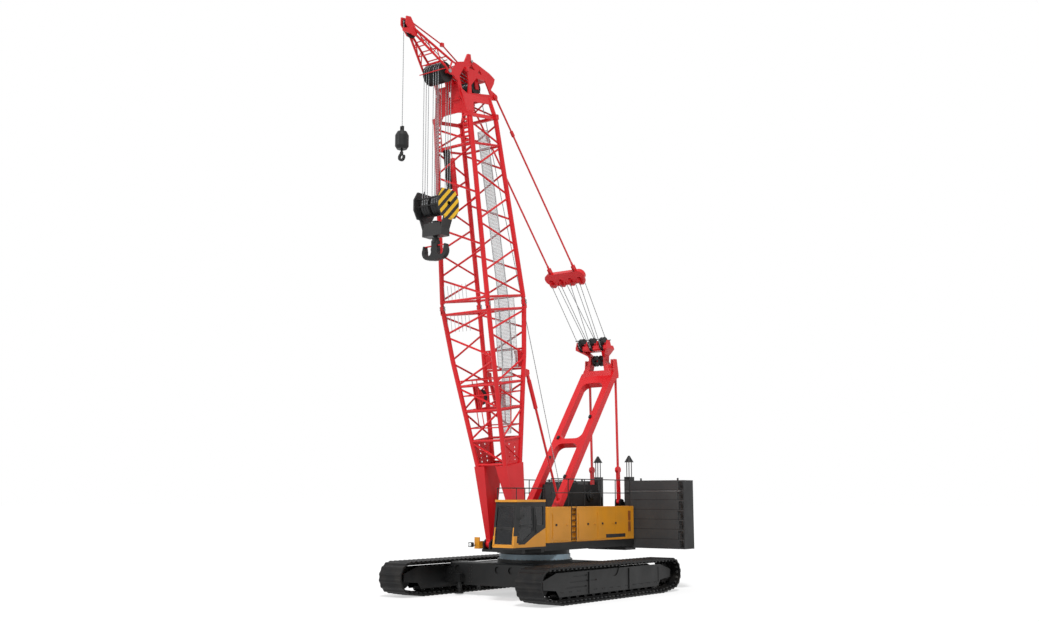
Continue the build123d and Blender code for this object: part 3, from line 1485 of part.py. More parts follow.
def build_bridle():
    save_group("pendants", [pendant(1), pendant(-1)])
    save_group("spreader", [spreader()] + spreader_sheaves())


# ================= hooks =================

CHEEK_Y = 620
CHEEK_PLATE = 70
TRUNNION_LOW = 14760
TRUNNION_HIGH = 15300
AUX_RADIUS = 275
AUX_HEIGHT = 770


def groove_seat(width):
    """How far a rope's centre sits above the bottom of a vee of that width."""
    return (ROPE_RADIUS + SEAT_GAP) / math.sin(math.atan(width / 2 / 40))


def main_block(x0):
    z0 = BLOCK_Z
    cheek = [
        (x0 - 420, 15500), (x0 + 420, 15500), (x0 + 640, 15860), (x0 + 640, 16300), (x0 + 420, 16650),
        (x0 - 420, 16650), (x0 - 640, 16300), (x0 - 640, 15860),
    ]
    strap = [(690, 15520), (620, 15520), (440, 15060), (440, TRUNNION_LOW), (520, TRUNNION_LOW), (520, 15060)]
    parts = [block(x0 - 260, x0 + 260, -450, 450, TRUNNION_LOW, TRUNNION_HIGH)]
    for side in (1, -1):
        parts.append(slab(cheek, side * CHEEK_Y, side * (CHEEK_Y + CHEEK_PLATE)))
        parts.append(plate_yz([(side * y, z) for y, z in strap], x0 - 260, x0 + 260))
        parts.append(slab([(x0 - 60, 16650), (x0 + 60, 16650), (x0, 16780)], side * 640, side * 670))
    parts.append(disc(x0, z0, BLOCK_SHAFT, -CHEEK_Y - CHEEK_PLATE - 30, CHEEK_Y + CHEEK_PLATE + 30))
    body = fuse(parts)
    body -= rod((x0, 0, TRUNNION_LOW - 10), (x0, 0, TRUNNION_HIGH + 10), HOOK_SHANK + PIN_CLEARANCE)
    rows = []
    for ys in (FALLS_Y[:3], FALLS_Y[3:]):
        rows.append(fuse([sheave(x0, z0, MAIN_SHEAVE_RADIUS, y, 130, BLOCK_SHAFT) for y in ys]))
    return [body] + rows


def main_falls(x0):
    """Straight falls, seated in the block's grooves; their tops stop clear of the turning rims."""
    offset = MAIN_SHEAVE_RADIUS - 40 + groove_seat(130)
    reach = MAIN_SHEAVE_RADIUS + ROPE_END_GAP
    top = boom_point(*MAIN_SHEAVE)[1] - math.sqrt(reach**2 - (offset - ROPE_RADIUS) ** 2)
    lines = []
    for front in (1, -1):
        x = x0 + front * offset
        for y in FALLS_Y:
            lines.append(bar((x, y, BLOCK_Z), (x, y, top), ROPE_RADIUS, 8))
    return lines


def arc_points(y, z, radius, start, stop, steps):
    points = []
    for i in range(steps + 1):
        angle = math.radians(start + (stop - start) * i / steps)
        points.append((y + radius * math.cos(angle), z + radius * math.sin(angle)))
    return points


def main_hook(x0):
    """A double hook with a shank that turns in the block."""
    y = 330
    z = 14130
    half = [(-y0, z0) for y0, z0 in [(150, 14600), (150, 14330)] + arc_points(y, z, 170, 150, 375, 10)]
    half += [(-y0, z0) for y0, z0 in [(540, 14400), (600, 14400)] + arc_points(y, z, 330, 25, -90, 8)]
    half.append((-60, 13760))
    horns = plate_yz(mirrored(half), x0 - 110, x0 + 110)
    shank = rod((x0, 0, 14550), (x0, 0, TRUNNION_HIGH + 20), HOOK_SHANK)
    nut = rod((x0, 0, TRUNNION_HIGH + SEAT_GAP), (x0, 0, TRUNNION_HIGH + 110), 150)
    neck = rod((x0, 0, 14500), (x0, 0, 14700), 150)
    return fuse([horns, shank, nut, neck])


def aux_block(x, z):
    """A weighted ball-end: a drum with shoulders and an eye for the rope."""
    low = z - AUX_HEIGHT
    points = [(0, low), (200, low), (AUX_RADIUS, low + 120), (AUX_RADIUS, z - 200), (190, z - 40), (90, z)]
    points.append((0, z))
    outline = make_face(Polyline(*[(r, h) for r, h in points], close=True))
    body = revolve(Plane.XZ * outline, Axis.Z)
    body = Pos(x, 0, 0) * body
    eye = block(x - 40, x + 40, -75, 75, z - 20, z + 190) - rod((x - 50, 0, z + 90), (x + 50, 0, z + 90), 40)
    body = body.fuse(eye)
    body -= rod((x, 0, low - 10), (x, 0, low + 170), AUX_SHANK + PIN_CLEARANCE)
    return body - rod((x, 0, low + 170), (x, 0, low + 260), 85)


def aux_hook(x, z):
    low = z - AUX_HEIGHT
    centre = low - 330
    points = [(-45, centre + 230), (-75, centre + 150)] + arc_points(0, centre, 165, 130, 388, 14)
    points += arc_points(0, centre, 78, 380, 60, 12) + [(45, centre + 130), (45, centre + 230)]
    horn = plate_yz(points, x - 45, x + 45)
    shank = rod((x, 0, centre + 200), (x, 0, low + 180), AUX_SHANK)
    nut = rod((x, 0, low + 172), (x, 0, low + 240), 75)
    return fuse([horn, shank, nut])


def build_hooks():
    x0 = boom_point(*MAIN_SHEAVE)[0]
    save_group("main_block", main_block(x0))
    save_group("main_falls", main_falls(x0))
    save("main_hook", main_hook(x0))
    ax, tip_z = boom_point(*TOP_SHEAVE)
    ax += TOP_SHEAVE_RADIUS - 40 + groove_seat(90)
    az = AUX_BLOCK_TOP_Z
    save("aux_block", aux_block(ax, az))
    save("aux_fall", bar((ax, 0, az + 190), (ax, 0, tip_z), ROPE_RADIUS, 8))
    save("aux_hook", aux_hook(ax, az))


build_undercarriage()
build_upper()
build_cab()
build_mast()
build_boom()
build_bridle()
build_hooks()
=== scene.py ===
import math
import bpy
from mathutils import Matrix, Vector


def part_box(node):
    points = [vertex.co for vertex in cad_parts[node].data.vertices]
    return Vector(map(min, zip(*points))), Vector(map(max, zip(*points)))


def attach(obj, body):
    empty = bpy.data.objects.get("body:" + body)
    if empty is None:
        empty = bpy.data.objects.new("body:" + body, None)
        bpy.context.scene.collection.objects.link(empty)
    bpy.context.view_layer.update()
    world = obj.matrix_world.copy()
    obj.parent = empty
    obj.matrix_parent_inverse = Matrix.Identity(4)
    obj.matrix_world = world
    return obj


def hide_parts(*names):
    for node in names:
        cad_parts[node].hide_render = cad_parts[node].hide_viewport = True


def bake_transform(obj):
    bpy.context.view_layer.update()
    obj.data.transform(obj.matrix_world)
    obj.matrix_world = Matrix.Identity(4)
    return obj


bl_info = {
    "name": "Crawler crane dressing",
    "version": (1, 0, 0),
    "blender": (4, 5, 0),
    "location": "View3D > Sidebar > Crane",
    "description": "Finishes, ropes, gratings, trim and a studio stage for the lattice boom crawler crane",
    "category": "Object",
}

import bpy
from bpy.props import FloatProperty, PointerProperty
from mathutils import Matrix, Vector

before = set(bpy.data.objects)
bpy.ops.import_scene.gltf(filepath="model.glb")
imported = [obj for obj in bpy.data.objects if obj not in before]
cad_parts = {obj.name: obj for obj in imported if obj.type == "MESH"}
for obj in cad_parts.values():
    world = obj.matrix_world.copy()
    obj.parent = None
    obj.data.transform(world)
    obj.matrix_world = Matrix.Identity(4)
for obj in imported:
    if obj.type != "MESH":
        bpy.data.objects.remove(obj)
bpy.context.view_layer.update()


# ---- colours and places ----

def linear(code):
    """A linear RGBA colour from an sRGB hex code."""
    levels = [int(code[i:i + 2], 16) / 255 for i in (1, 3, 5)]
    return [v / 12.92 if v <= 0.04045 else ((v + 0.055) / 1.055) ** 2.4 for v in levels] + [1.0]


# The boom's own frame: forward, across, along, from its foot pin.
BOOM_LEAN = math.radians(80.8)
BOOM_FRAME = Matrix((
    (math.sin(BOOM_LEAN), 0, math.cos(BOOM_LEAN), 2.05),
    (0, 1, 0, 0),
    (-math.cos(BOOM_LEAN), 0, math.sin(BOOM_LEAN), 2.2),
    (0, 0, 0, 1),
))
# where the boom's base and top sections are pinned together, along
BOOM_JOINT = 10.25
# along, half width and half depth at the chords' centres
BOOM_SECTIONS = ((3.35, 0.73, 0.52), (8.0, 1.11, 1.07), (BOOM_JOINT, 1.24, 1.26), (18.2, 0.95, 0.88))
# shafts of the sheaves on the boom's head: forward, along
MAIN_SHEAVE = (1.6, 20.08)
REAR_SHEAVE = (-0.45, 19.68)

MAST_SHEAVE = Vector((-4.82, 0, 11.5))
# the bridle's lower end, the way down it and how far along that the spreader's sheaves sit
BRIDLE_LOW = Vector((-2.14, 0, 14.85))
BRIDLE_DOWN = Vector((-0.671, 0, -0.741))
SPREADER_SHEAVE = 0.76
# each winch's drum: body, x, z
WINCHES = (("main_hoist_drum", -1.65, 3.0), ("aux_hoist_drum", -2.95, 3.0), ("luffing_drum", -3.5, 4.23))
HOUSE_SIDE = 1.6


def in_boom(forward, across, along):
    return BOOM_FRAME @ Vector((forward, across, along))


def boom_section(along):
    for (s0, w0, d0), (s1, w1, d1) in zip(BOOM_SECTIONS, BOOM_SECTIONS[1:]):
        if along <= s1:
            break
    t = (along - s0) / (s1 - s0)
    return w0 + (w1 - w0) * t, d0 + (d1 - d0) * t


# ---- modelling by hand ----

def pick(*pieces):
    """Leaves only these selected, in object mode."""
    if bpy.context.object and bpy.context.object.mode != "OBJECT":
        bpy.ops.object.mode_set(mode="OBJECT")
    bpy.ops.object.select_all(action="DESELECT")
    for piece in pieces:
        piece.select_set(True)
    if pieces:
        bpy.context.view_layer.objects.active = pieces[0]


def settle(piece):
    """Puts a piece's place into its mesh."""
    pick(piece)
    bpy.ops.object.transform_apply(location=True, rotation=True, scale=True)
    return piece


def soften(piece, width, segments=2):
    """Bevels the sharp edges for good."""
    pick(piece)
    bevel = piece.modifiers.new("edges", "BEVEL")
    bevel.width = width
    bevel.segments = segments
    bevel.limit_method = "ANGLE"
    bevel.angle_limit = math.radians(50)
    bpy.ops.object.modifier_apply(modifier=bevel.name)
    return piece


def plate(low, high, edge=0.006):
    """A block between two corners with its edges eased."""
    pick()
    middle = [(a + b) / 2 for a, b in zip(low, high)]
    bpy.ops.mesh.primitive_cube_add(size=1, location=middle)
    piece = bpy.context.object
    piece.scale = [abs(b - a) for a, b in zip(low, high)]
    settle(piece)
    return soften(piece, edge) if edge else piece


def tube(start, end, radius, sides=12, edge=0):
    """A round bar between two places."""
    pick()
    start, end = Vector(start), Vector(end)
    run = end - start
    turn = run.to_track_quat("Z", "Y").to_euler()
    bpy.ops.mesh.primitive_cylinder_add(
        vertices=sides, radius=radius, depth=run.length, location=(start + end) / 2, rotation=turn)
    piece = settle(bpy.context.object)
    return soften(piece, edge) if edge else piece


def copies(piece, places):
    """One copy of a piece, with its own mesh, at each matrix; the first is used up."""
    made = []
    for place in places:
        twin = piece.copy()
        twin.data = piece.data.copy()
        twin.data.transform(place)
        bpy.context.collection.objects.link(twin)
        made.append(twin)
    bpy.data.objects.remove(piece)
    return made


def joined(name, pieces):
    pick(*pieces)
    if len(pieces) > 1:
        bpy.ops.object.join()
    whole = bpy.context.object if len(pieces) > 1 else pieces[0]
    whole.name = name
    whole.data.name = name
    return whole


def hand_over(name, pieces, finish, body, angle=35):
    """Joins pieces into one, gives it its finish and lets it ride a body."""
    whole = joined(name, pieces)
    whole.data.materials.clear()
    whole.data.materials.append(bpy.data.materials[finish])
    pick(whole)
    bpy.ops.object.shade_smooth_by_angle(angle=math.radians(angle))
    if body:
        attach(whole, body)
    return whole


# ---- finishes ----

def add(tree, kind, settings=None, feeds=None):
    """One node, with its settings, and values or other nodes' outputs fed to its sockets."""
    made = tree.nodes.new(kind)
    for key, value in (settings or {}).items():
        setattr(made, key, value)
    for key, value in (feeds or {}).items():
        if isinstance(value, bpy.types.NodeSocket):
            tree.links.new(value, made.inputs[key])
        else:
            made.inputs[key].default_value = value
    return made


def new_finish(name):
    """An empty material with its shader, and object coordinates in metres."""
    material = bpy.data.materials.new(name)
    material.use_nodes = True
    tree = material.node_tree
    tree.nodes.clear()
    shader = add(tree, "ShaderNodeBsdfPrincipled")
    add(tree, "ShaderNodeOutputMaterial", None, {"Surface": shader.outputs["BSDF"]})
    coords = add(tree, "ShaderNodeTexCoord")
    return tree, shader, coords.outputs["Object"]


def mixed(tree, share, first, second):
    node = add(tree, "ShaderNodeMix", {"data_type": "RGBA"}, {0: share, 6: first, 7: second})
    return node.outputs[2]


def spread(tree, value, low, high, out_low=0.0, out_high=1.0):
    """Stretches the part of a value between two levels over a new range."""
    feeds = {0: value, 1: low, 2: high, 3: out_low, 4: out_high}
    return add(tree, "ShaderNodeMapRange", None, feeds).outputs[0]


def raise_by(tree, shader, height, strength, distance):
    feeds = {"Height": height, "Strength": strength, "Distance": distance}
    relief = add(tree, "ShaderNodeBump", None, feeds)
    tree.links.new(relief.outputs[0], shader.inputs["Normal"])


def sprayed_enamel(name, paint, grime, gloss, dirt=0.35, bump=0.12):
    """Two-pack enamel sprayed on welded plate: an even coat with soft drifts of dust, rain streaks
    down it, small dull scuffs and a faint orange peel."""
    tree, shader, place = new_finish(name)
    # drifts of dust about 900 mm across
    drifts = add(tree, "ShaderNodeTexNoise", None, {"Vector": place, "Scale": 1 / 0.9, "Detail": 5.0})
    # streaks 120 mm wide and 1.5 m long
    stretched = add(tree, "ShaderNodeMapping", None, {"Vector": place, "Scale": (8.3, 8.3, 0.65)})
    feeds = {"Vector": stretched.outputs[0], "Scale": 1.0, "Detail": 3.0}
    streaks = add(tree, "ShaderNodeTexNoise", None, feeds)
    # scuffs of 40 mm
    scuffs = add(tree, "ShaderNodeTexNoise", None, {"Vector": place, "Scale": 1 / 0.04, "Detail": 2.0})
    drift = spread(tree, drifts.outputs[0], 0.42, 0.75, 0.0, dirt)
    streak = spread(tree, streaks.outputs[0], 0.5, 0.8, 0.0, dirt * 0.6)
    both = add(tree, "ShaderNodeMath", {"operation": "MAXIMUM"}, {0: drift, 1: streak}).outputs[0]
    colour = mixed(tree, both, linear(paint), linear(grime))
    tree.links.new(colour, shader.inputs["Base Color"])
    rough = spread(tree, drifts.outputs[0], 0.3, 0.8, gloss, gloss + 0.22)
    tree.links.new(rough, shader.inputs["Roughness"])
    # orange peel is finer than shows, so it is drawn at 25 mm
    peel = add(tree, "ShaderNodeTexNoise", None, {"Vector": place, "Scale": 1 / 0.025, "Detail": 1.0})
    uneven = add(tree, "ShaderNodeMath", {"operation": "ADD"}, {0: peel.outputs[0], 1: scuffs.outputs[0]})
    raise_by(tree, shader, uneven.outputs[0], bump, 0.002)
    shader.inputs["Specular IOR Level"].default_value = 0.3
    shader.inputs["Coat Weight"].default_value = 0.06
    shader.inputs["Coat Roughness"].default_value = 0.12
    return tree, shader, place


def counterweight_enamel(name):
    """Grey enamel over seven cast slabs: dark joints between them, and painted shade, near-black, on both
    outer end faces.
    """
    tree, shader, place = sprayed_enamel(name, "#38393A", "#55524D", 0.5, 0.25)
    # painted shade: the outer end faces, beyond 4.243 m across, are coloured near-black (#161617) to stand
    # for the shade in the slot along the slabs' lugs
    axes = add(tree, "ShaderNodeSeparateXYZ", None, {0: place})
    away = add(tree, "ShaderNodeMath", {"operation": "ABSOLUTE"}, {0: axes.outputs[1]})
    end = add(tree, "ShaderNodeMath", {"operation": "GREATER_THAN"}, {0: away.outputs[0], 1: 4.243})
    under = shader.inputs["Base Color"].links[0].from_socket
    body = mixed(tree, end.outputs[0], under, linear("#161617"))
    # joints 18 mm wide, one slab every 449 mm up from the lowest face
    lift = add(tree, "ShaderNodeMath", {"operation": "SUBTRACT"}, {0: axes.outputs[2], 1: 1.811})
    rows = add(tree, "ShaderNodeMath", {"operation": "DIVIDE"}, {0: lift.outputs[0], 1: 0.4486})
    part = add(tree, "ShaderNodeMath", {"operation": "FRACT"}, {0: rows.outputs[0]})
    joint = add(tree, "ShaderNodeMath", {"operation": "LESS_THAN"}, {0: part.outputs[0], 1: 0.04})
    tree.links.new(mixed(tree, joint.outputs[0], body, linear("#101011")), shader.inputs["Base Color"])


def striped_enamel(name):
    """Black enamel on the hook block, with yellow and black warning stripes on its two outer cheeks."""
    tree, shader, place = sprayed_enamel(name, "#1E1F21", "#4A4640", 0.38)
    axes = add(tree, "ShaderNodeSeparateXYZ", None, {0: place})
    # stripes 150 mm wide, rising at 45 degrees
    slope = add(tree, "ShaderNodeMath", {"operation": "ADD"}, {0: axes.outputs[0], 1: axes.outputs[2]})
    turns = add(tree, "ShaderNodeMath", {"operation": "MULTIPLY"}, {0: slope.outputs[0], 1: 1 / 0.42})
    phase = add(tree, "ShaderNodeMath", {"operation": "FRACT"}, {0: turns.outputs[0]})
    band = add(tree, "ShaderNodeMath", {"operation": "GREATER_THAN"}, {0: phase.outputs[0], 1: 0.5})
    away = add(tree, "ShaderNodeMath", {"operation": "ABSOLUTE"}, {0: axes.outputs[1]})
    cheek = add(tree, "ShaderNodeMath", {"operation": "GREATER_THAN"}, {0: away.outputs[0], 1: 0.655})
    facing = add(tree, "ShaderNodeTexCoord")
    across = add(tree, "ShaderNodeSeparateXYZ", None, {0: facing.outputs["Normal"]})
    side = add(tree, "ShaderNodeMath", {"operation": "ABSOLUTE"}, {0: across.outputs[1]})
    broad = add(tree, "ShaderNodeMath", {"operation": "GREATER_THAN"}, {0: side.outputs[0], 1: 0.8})
    where = add(tree, "ShaderNodeMath", {"operation": "MULTIPLY"}, {0: cheek.outputs[0], 1: broad.outputs[0]})
    painted = mixed(tree, band.outputs[0], linear("#1A1A1B"), linear("#E3B324"))
    under = shader.inputs["Base Color"].links[0].from_socket
    tree.links.new(mixed(tree, where.outputs[0], under, painted), shader.inputs["Base Color"])


def cast_steel(name, metal, dust, rough):
    """Cast manganese steel: dark, coarse-skinned, dusty in its pits and rubbed brighter in places."""
    tree, shader, place = new_finish(name)
    skin = add(tree, "ShaderNodeTexNoise", None, {"Vector": place, "Scale": 1 / 0.03, "Detail": 4.0})
    rubbed = add(tree, "ShaderNodeTexNoise", None, {"Vector": place, "Scale": 1 / 0.5, "Detail": 4.0})
    share = spread(tree, rubbed.outputs[0], 0.45, 0.75, 0.0, 0.5)
    tree.links.new(mixed(tree, share, linear(metal), linear(dust)), shader.inputs["Base Color"])
    dull = spread(tree, skin.outputs[0], 0.3, 0.7, rough - 0.1, rough + 0.15)
    tree.links.new(dull, shader.inputs["Roughness"])
    shader.inputs["Metallic"].default_value = 0.35
    shader.inputs["Specular IOR Level"].default_value = 0.3
    raise_by(tree, shader, skin.outputs[0], 0.35, 0.003)


def wire_rope(name):
    """Galvanised wire rope: bright zinc strands with dark grease between them."""
    tree, shader, place = new_finish(name)
    # the strands' lay is 28 mm, drawn at 60 mm so that it shows
    turned = add(tree, "ShaderNodeMapping", None, {"Vector": place, "Rotation": (0.5, 0.35, 0.0)})
    feeds = {"Vector": turned.outputs[0], "Scale": 5.2}
    lay = add(tree, "ShaderNodeTexWave", {"bands_direction": "Z"}, feeds)
    strands = mixed(tree, lay.outputs[1], linear("#5C5E60"), linear("#B4B7B9"))
    tree.links.new(strands, shader.inputs["Base Color"])
    shader.inputs["Metallic"].default_value = 0.7
    shader.inputs["Roughness"].default_value = 0.42
    raise_by(tree, shader, lay.outputs[1], 0.5, 0.002)


def zinc_steel(name, base, rough, metallic=0.8):
    """Hot-dip zinc on steel: a pale spangled grey, dull in patches."""
    tree, shader, place = new_finish(name)
    spangle = add(tree, "ShaderNodeTexVoronoi", None, {"Vector": place, "Scale": 1 / 0.02})
    patches = add(tree, "ShaderNodeTexNoise", None, {"Vector": place, "Scale": 1 / 0.25, "Detail": 3.0})
    tint = mixed(tree, spread(tree, patches.outputs[0], 0.4, 0.7, 0.0, 0.4), linear(base), linear("#85888A"))
    tree.links.new(tint, shader.inputs["Base Color"])
    levels = spread(tree, spangle.outputs[0], 0.0, 0.6, rough - 0.08, rough + 0.1)
    tree.links.new(levels, shader.inputs["Roughness"])
    shader.inputs["Metallic"].default_value = metallic


def tinted_glass(name):
    """Grey-tinted safety glass with a thin film of dust in patches."""
    tree, shader, place = new_finish(name)
    film = add(tree, "ShaderNodeTexNoise", None, {"Vector": place, "Scale": 1 / 0.3, "Detail": 4.0})
    share = spread(tree, film.outputs[0], 0.5, 0.8, 0.0, 0.25)
    tree.links.new(mixed(tree, share, linear("#0E1014"), linear("#4A4844")), shader.inputs["Base Color"])
    tree.links.new(spread(tree, film.outputs[0], 0.4, 0.8, 0.03, 0.16), shader.inputs["Roughness"])
    shader.inputs["IOR"].default_value = 1.52
    shader.inputs["Specular IOR Level"].default_value = 0.45
    shader.inputs["Alpha"].default_value = 0.72


def moulded_trim(name, base, rough, grain=0.006):
    """Moulded rubber or ABS: matt, with a fine pebbled grain drawn a little coarse so that it shows."""
    tree, shader, place = new_finish(name)
    pebbles = add(tree, "ShaderNodeTexVoronoi", None, {"Vector": place, "Scale": 1 / grain})
    wear = add(tree, "ShaderNodeTexNoise", None, {"Vector": place, "Scale": 1 / 0.2, "Detail": 3.0})
    share = spread(tree, wear.outputs[0], 0.45, 0.8, 0.0, 0.3)
    tree.links.new(mixed(tree, share, linear(base), linear("#4B4843")), shader.inputs["Base Color"])
    shader.inputs["Roughness"].default_value = rough
    raise_by(tree, shader, pebbles.outputs[0], 0.2, 0.001)


def lamp_lens(name):
    """Clear ribbed polycarbonate over a bright reflector."""
    tree, shader, place = new_finish(name)
    # ribs drawn 30 mm apart so that they show
    ribs = add(tree, "ShaderNodeTexWave", {"bands_direction": "X"}, {"Vector": place, "Scale": 1 / 0.03})
    glow = mixed(tree, ribs.outputs[1], linear("#C9CDD0"), linear("#F2F3F2"))
    tree.links.new(glow, shader.inputs["Base Color"])
    shader.inputs["Metallic"].default_value = 0.3
    shader.inputs["Roughness"].default_value = 0.12


FINISHES = {
    "boom_red_enamel": "boom_legs base_chords top_chords boom_lacing boom_head boom_backstops jib mast"
                       " mast_backstays pendants spreader",
    "house_yellow_enamel": "house_left house_right door_left_front door_left_mid door_left_rear"
                           " door_right_mid door_right_rear cab_tub cab_roof foot_step",
    "counterweight_grey_enamel": "counterweight",
    "chassis_dark_grey_enamel": "carbody cross_beams track_frames assembly_jacks travel_drives turntable"
                                " cab_carrier",
    "machinery_black_enamel": "rear_frame winch_frame oil_tank capped_stacks engine_block handrails"
                              " main_hoist_drum aux_hoist_drum luffing_drum main_sheaves boom_sheaves"
                              " mast_sheaves jib_sheaves main_hook aux_block aux_hook cab_frame cab_door",
    "warning_striped_block_enamel": "main_block",
    "ring_blue_grey_enamel": "slew_ring",
    "track_manganese_steel": "track_left track_right track_rollers drive_sprockets",
    "galvanised_wire_rope": "main_falls aux_fall",
    "galvanised_grating": "boom_walkway",
    "cab_tinted_glass": "cab_glass cab_door_glass",
    "seat_vinyl": "cab_seat",
}


def make_finishes():
    sprayed_enamel("boom_red_enamel", "#C9151D", "#74241F", 0.3, 0.12)
    sprayed_enamel("house_yellow_enamel", "#D08A1E", "#86693B", 0.28, 0.22)
    counterweight_enamel("counterweight_grey_enamel")
    sprayed_enamel("chassis_dark_grey_enamel", "#0D0E0F", "#2E2C28", 0.42, 0.25)
    sprayed_enamel("machinery_black_enamel", "#0F1011", "#2E2C29", 0.38, 0.22)
    sprayed_enamel("ring_blue_grey_enamel", "#8FA3AF", "#6F6B63", 0.35, 0.25)
    striped_enamel("warning_striped_block_enamel")
    cast_steel("track_manganese_steel", "#0F0F10", "#2F2C28", 0.5)
    cast_steel("worn_track_steel", "#2C2D2E", "#55524C", 0.4)
    wire_rope("galvanised_wire_rope")
    zinc_steel("galvanised_grating", "#B5BABB", 0.5, 0.35)
    zinc_steel("zinc_plated_bolts", "#9B9D9D", 0.35)
    tinted_glass("cab_tinted_glass")
    moulded_trim("seat_vinyl", "#1B1B1D", 0.6)
    moulded_trim("window_rubber", "#101011", 0.7)
    moulded_trim("radiator_guard_brown", "#7B3A22", 0.6, 0.02)
    lamp_lens("lamp_polycarbonate")


class CRANE_OT_finishes(bpy.types.Operator):
    """Makes the finishes and paints every CAD node"""
    bl_idname = "crane.finishes"
    bl_label = "Finishes"

    def execute(self, context):
        make_finishes()
        for finish, nodes in FINISHES.items():
            for name in nodes.split():
                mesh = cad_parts[name].data
                mesh.materials.clear()
                mesh.materials.append(bpy.data.materials[finish])
        return {"FINISHED"}


# ---- ropes ----

# from a sheave's shaft to the ropes in its groove
SPREADER_GROOVE = 0.208
MAST_GROOVE = 0.308
REAR_GROOVE = 0.278
# the main hook's falls: their own thickness, and where they hang across
FALL_RADIUS = 0.014
FALLS_ACROSS = (-0.39, -0.26, -0.13, 0.13, 0.26, 0.39)
# where the main hoist rope leaves its drum
DRUM_LEAD = (-1.99, 0.36, 3.0)
# a drum's winding: turns, half its width, the ring's and the rope's radius
DRUM_TURNS = 26
DRUM_HALF = 0.41
DRUM_RING = 0.332
DRUM_ROPE = 0.0157


def rope_run(start, end, radius):
    return tube(start, end, radius, 10)


def tangents(centre, radius, toward):
    """The two places where straight lines towards a far point leave a wheel lying in the XZ plane."""
    run = Vector((toward[0] - centre[0], 0, toward[2] - centre[2])).normalized()
    side = Vector((-run.z, 0, run.x)) * radius
    return Vector(centre) + side, Vector(centre) - side


class CRANE_OT_bridle_ropes(bpy.types.Operator):
    """Reeves the luffing ropes between the spreader's and the mast's sheaves"""
    bl_idname = "crane.bridle_ropes"
    bl_label = "Bridle ropes"

    def execute(self, context):
        radius = context.scene.crane.rope_diameter / 2
        low = BRIDLE_LOW + BRIDLE_DOWN * SPREADER_SHEAVE
        # across at the spreader and at the mast's head
        for y0, y1 in ((-0.8, -0.6), (-0.27, -0.02), (0.27, 0.02), (0.8, 0.6)):
            a = Vector((low.x, y0, low.z))
            b = Vector((MAST_SHEAVE.x, y1, MAST_SHEAVE.z))
            starts = tangents(a, SPREADER_GROOVE, b)
            ends = tangents(b, MAST_GROOVE, a)
            runs = [rope_run(starts[0], ends[1], radius), rope_run(starts[1], ends[0], radius)]
            name = "bridle_rope_%s%d" % ("left" if y0 > 0 else "right", round(abs(y0) * 100))
            hand_over(name, runs, "galvanised_wire_rope", "bridle")
        return {"FINISHED"}




def groove_bend(centre, reach, low):
    """A rope over the top half of a sheave's groove, both its ends running straight down to a height."""
    pick()
    bpy.ops.mesh.primitive_torus_add(
        major_radius=reach, minor_radius=FALL_RADIUS, major_segments=48, minor_segments=8,
        location=centre, rotation=(math.pi / 2, 0, 0))
    ring = settle(bpy.context.object)
    bpy.ops.object.mode_set(mode="EDIT")
    bpy.ops.mesh.select_all(action="SELECT")
    bpy.ops.mesh.bisect(plane_co=centre, plane_no=(0, 0, 1), clear_inner=True)
    bpy.ops.object.mode_set(mode="OBJECT")
    ends = []
    for side in (1, -1):
        x = centre.x + side * reach
        ends.append(tube((x, centre.y, low), (x, centre.y, centre.z), FALL_RADIUS, 8))
    return [ring] + ends


class CRANE_OT_hoist_lines(bpy.types.Operator):
    """Leads the hoist ropes from the winches up to the boom's head and over its sheaves"""
    bl_idname = "crane.hoist_lines"
    bl_label = "Hoist lines"

    def execute(self, context):
        radius = context.scene.crane.rope_diameter / 2
        forward, along = REAR_SHEAVE
        head = in_boom(forward - REAR_GROOVE, 0.33, along)
        line = rope_run(head, DRUM_LEAD, radius)
        line = hand_over("main_hoist_line", [line], "galvanised_wire_rope", None)
        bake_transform(line)
        over = []
        for y in (-0.33, -0.11, 0.11, 0.33):
            start = in_boom(forward, y, along + REAR_GROOVE)
            over.append(rope_run(start, in_boom(1.45, y * 1.15, 20.475), radius))
        over.append(rope_run(in_boom(3.06, 0.0, 21.885), in_boom(3.27, 0.0, 22.085), radius))
        over.append(rope_run(in_boom(0.2, 0.0, 20.2), in_boom(3.0, 0.0, 21.875), radius))
        hand_over("head_ropes", over, "galvanised_wire_rope", "boom")
        # the bends run on from the falls' tops
        low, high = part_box("main_falls")
        reach = (high[0] - low[0]) / 2 - FALL_RADIUS
        bends = []
        for y in FALLS_ACROSS:
            bends += groove_bend(in_boom(MAIN_SHEAVE[0], y, MAIN_SHEAVE[1]), reach, high[2])
        hand_over("main_sheave_ropes", bends, "galvanised_wire_rope", "main_block", 60)
        return {"FINISHED"}


class CRANE_OT_drum_ropes(bpy.types.Operator):
    """Winds rope on the three winch drums"""
    bl_idname = "crane.drum_ropes"
    bl_label = "Drum ropes"

    def execute(self, context):
        for body, x, z in WINCHES:
            turns = []
            for i in range(DRUM_TURNS):
                y = -DRUM_HALF + 2 * DRUM_HALF * (i + 0.5) / DRUM_TURNS
                pick()
                bpy.ops.mesh.primitive_torus_add(
                    major_radius=DRUM_RING, minor_radius=DRUM_ROPE, major_segments=40, minor_segments=6,
                    location=(x, y, z), rotation=(math.pi / 2, 0, 0))
                turns.append(settle(bpy.context.object))
            hand_over(body + "_rope", turns, "galvanised_wire_rope", body, 60)
        return {"FINISHED"}


# ---- boom ----

# the walkway's line: along, forward
WALKWAY_ROWS = ((4.7, -0.3), (7.9, -0.9), (9.9, -1.01), (10.6, -1.01), (17.8, -0.69))
LANDING_LOW = 7.5
LANDING_HIGH = 10.6


def walkway_forward(along):
    for (s0, n0), (s1, n1) in zip(WALKWAY_ROWS, WALKWAY_ROWS[1:]):
        if along <= s1:
            break
    return n0 + (n1 - n0) * (along - s0) / (s1 - s0)


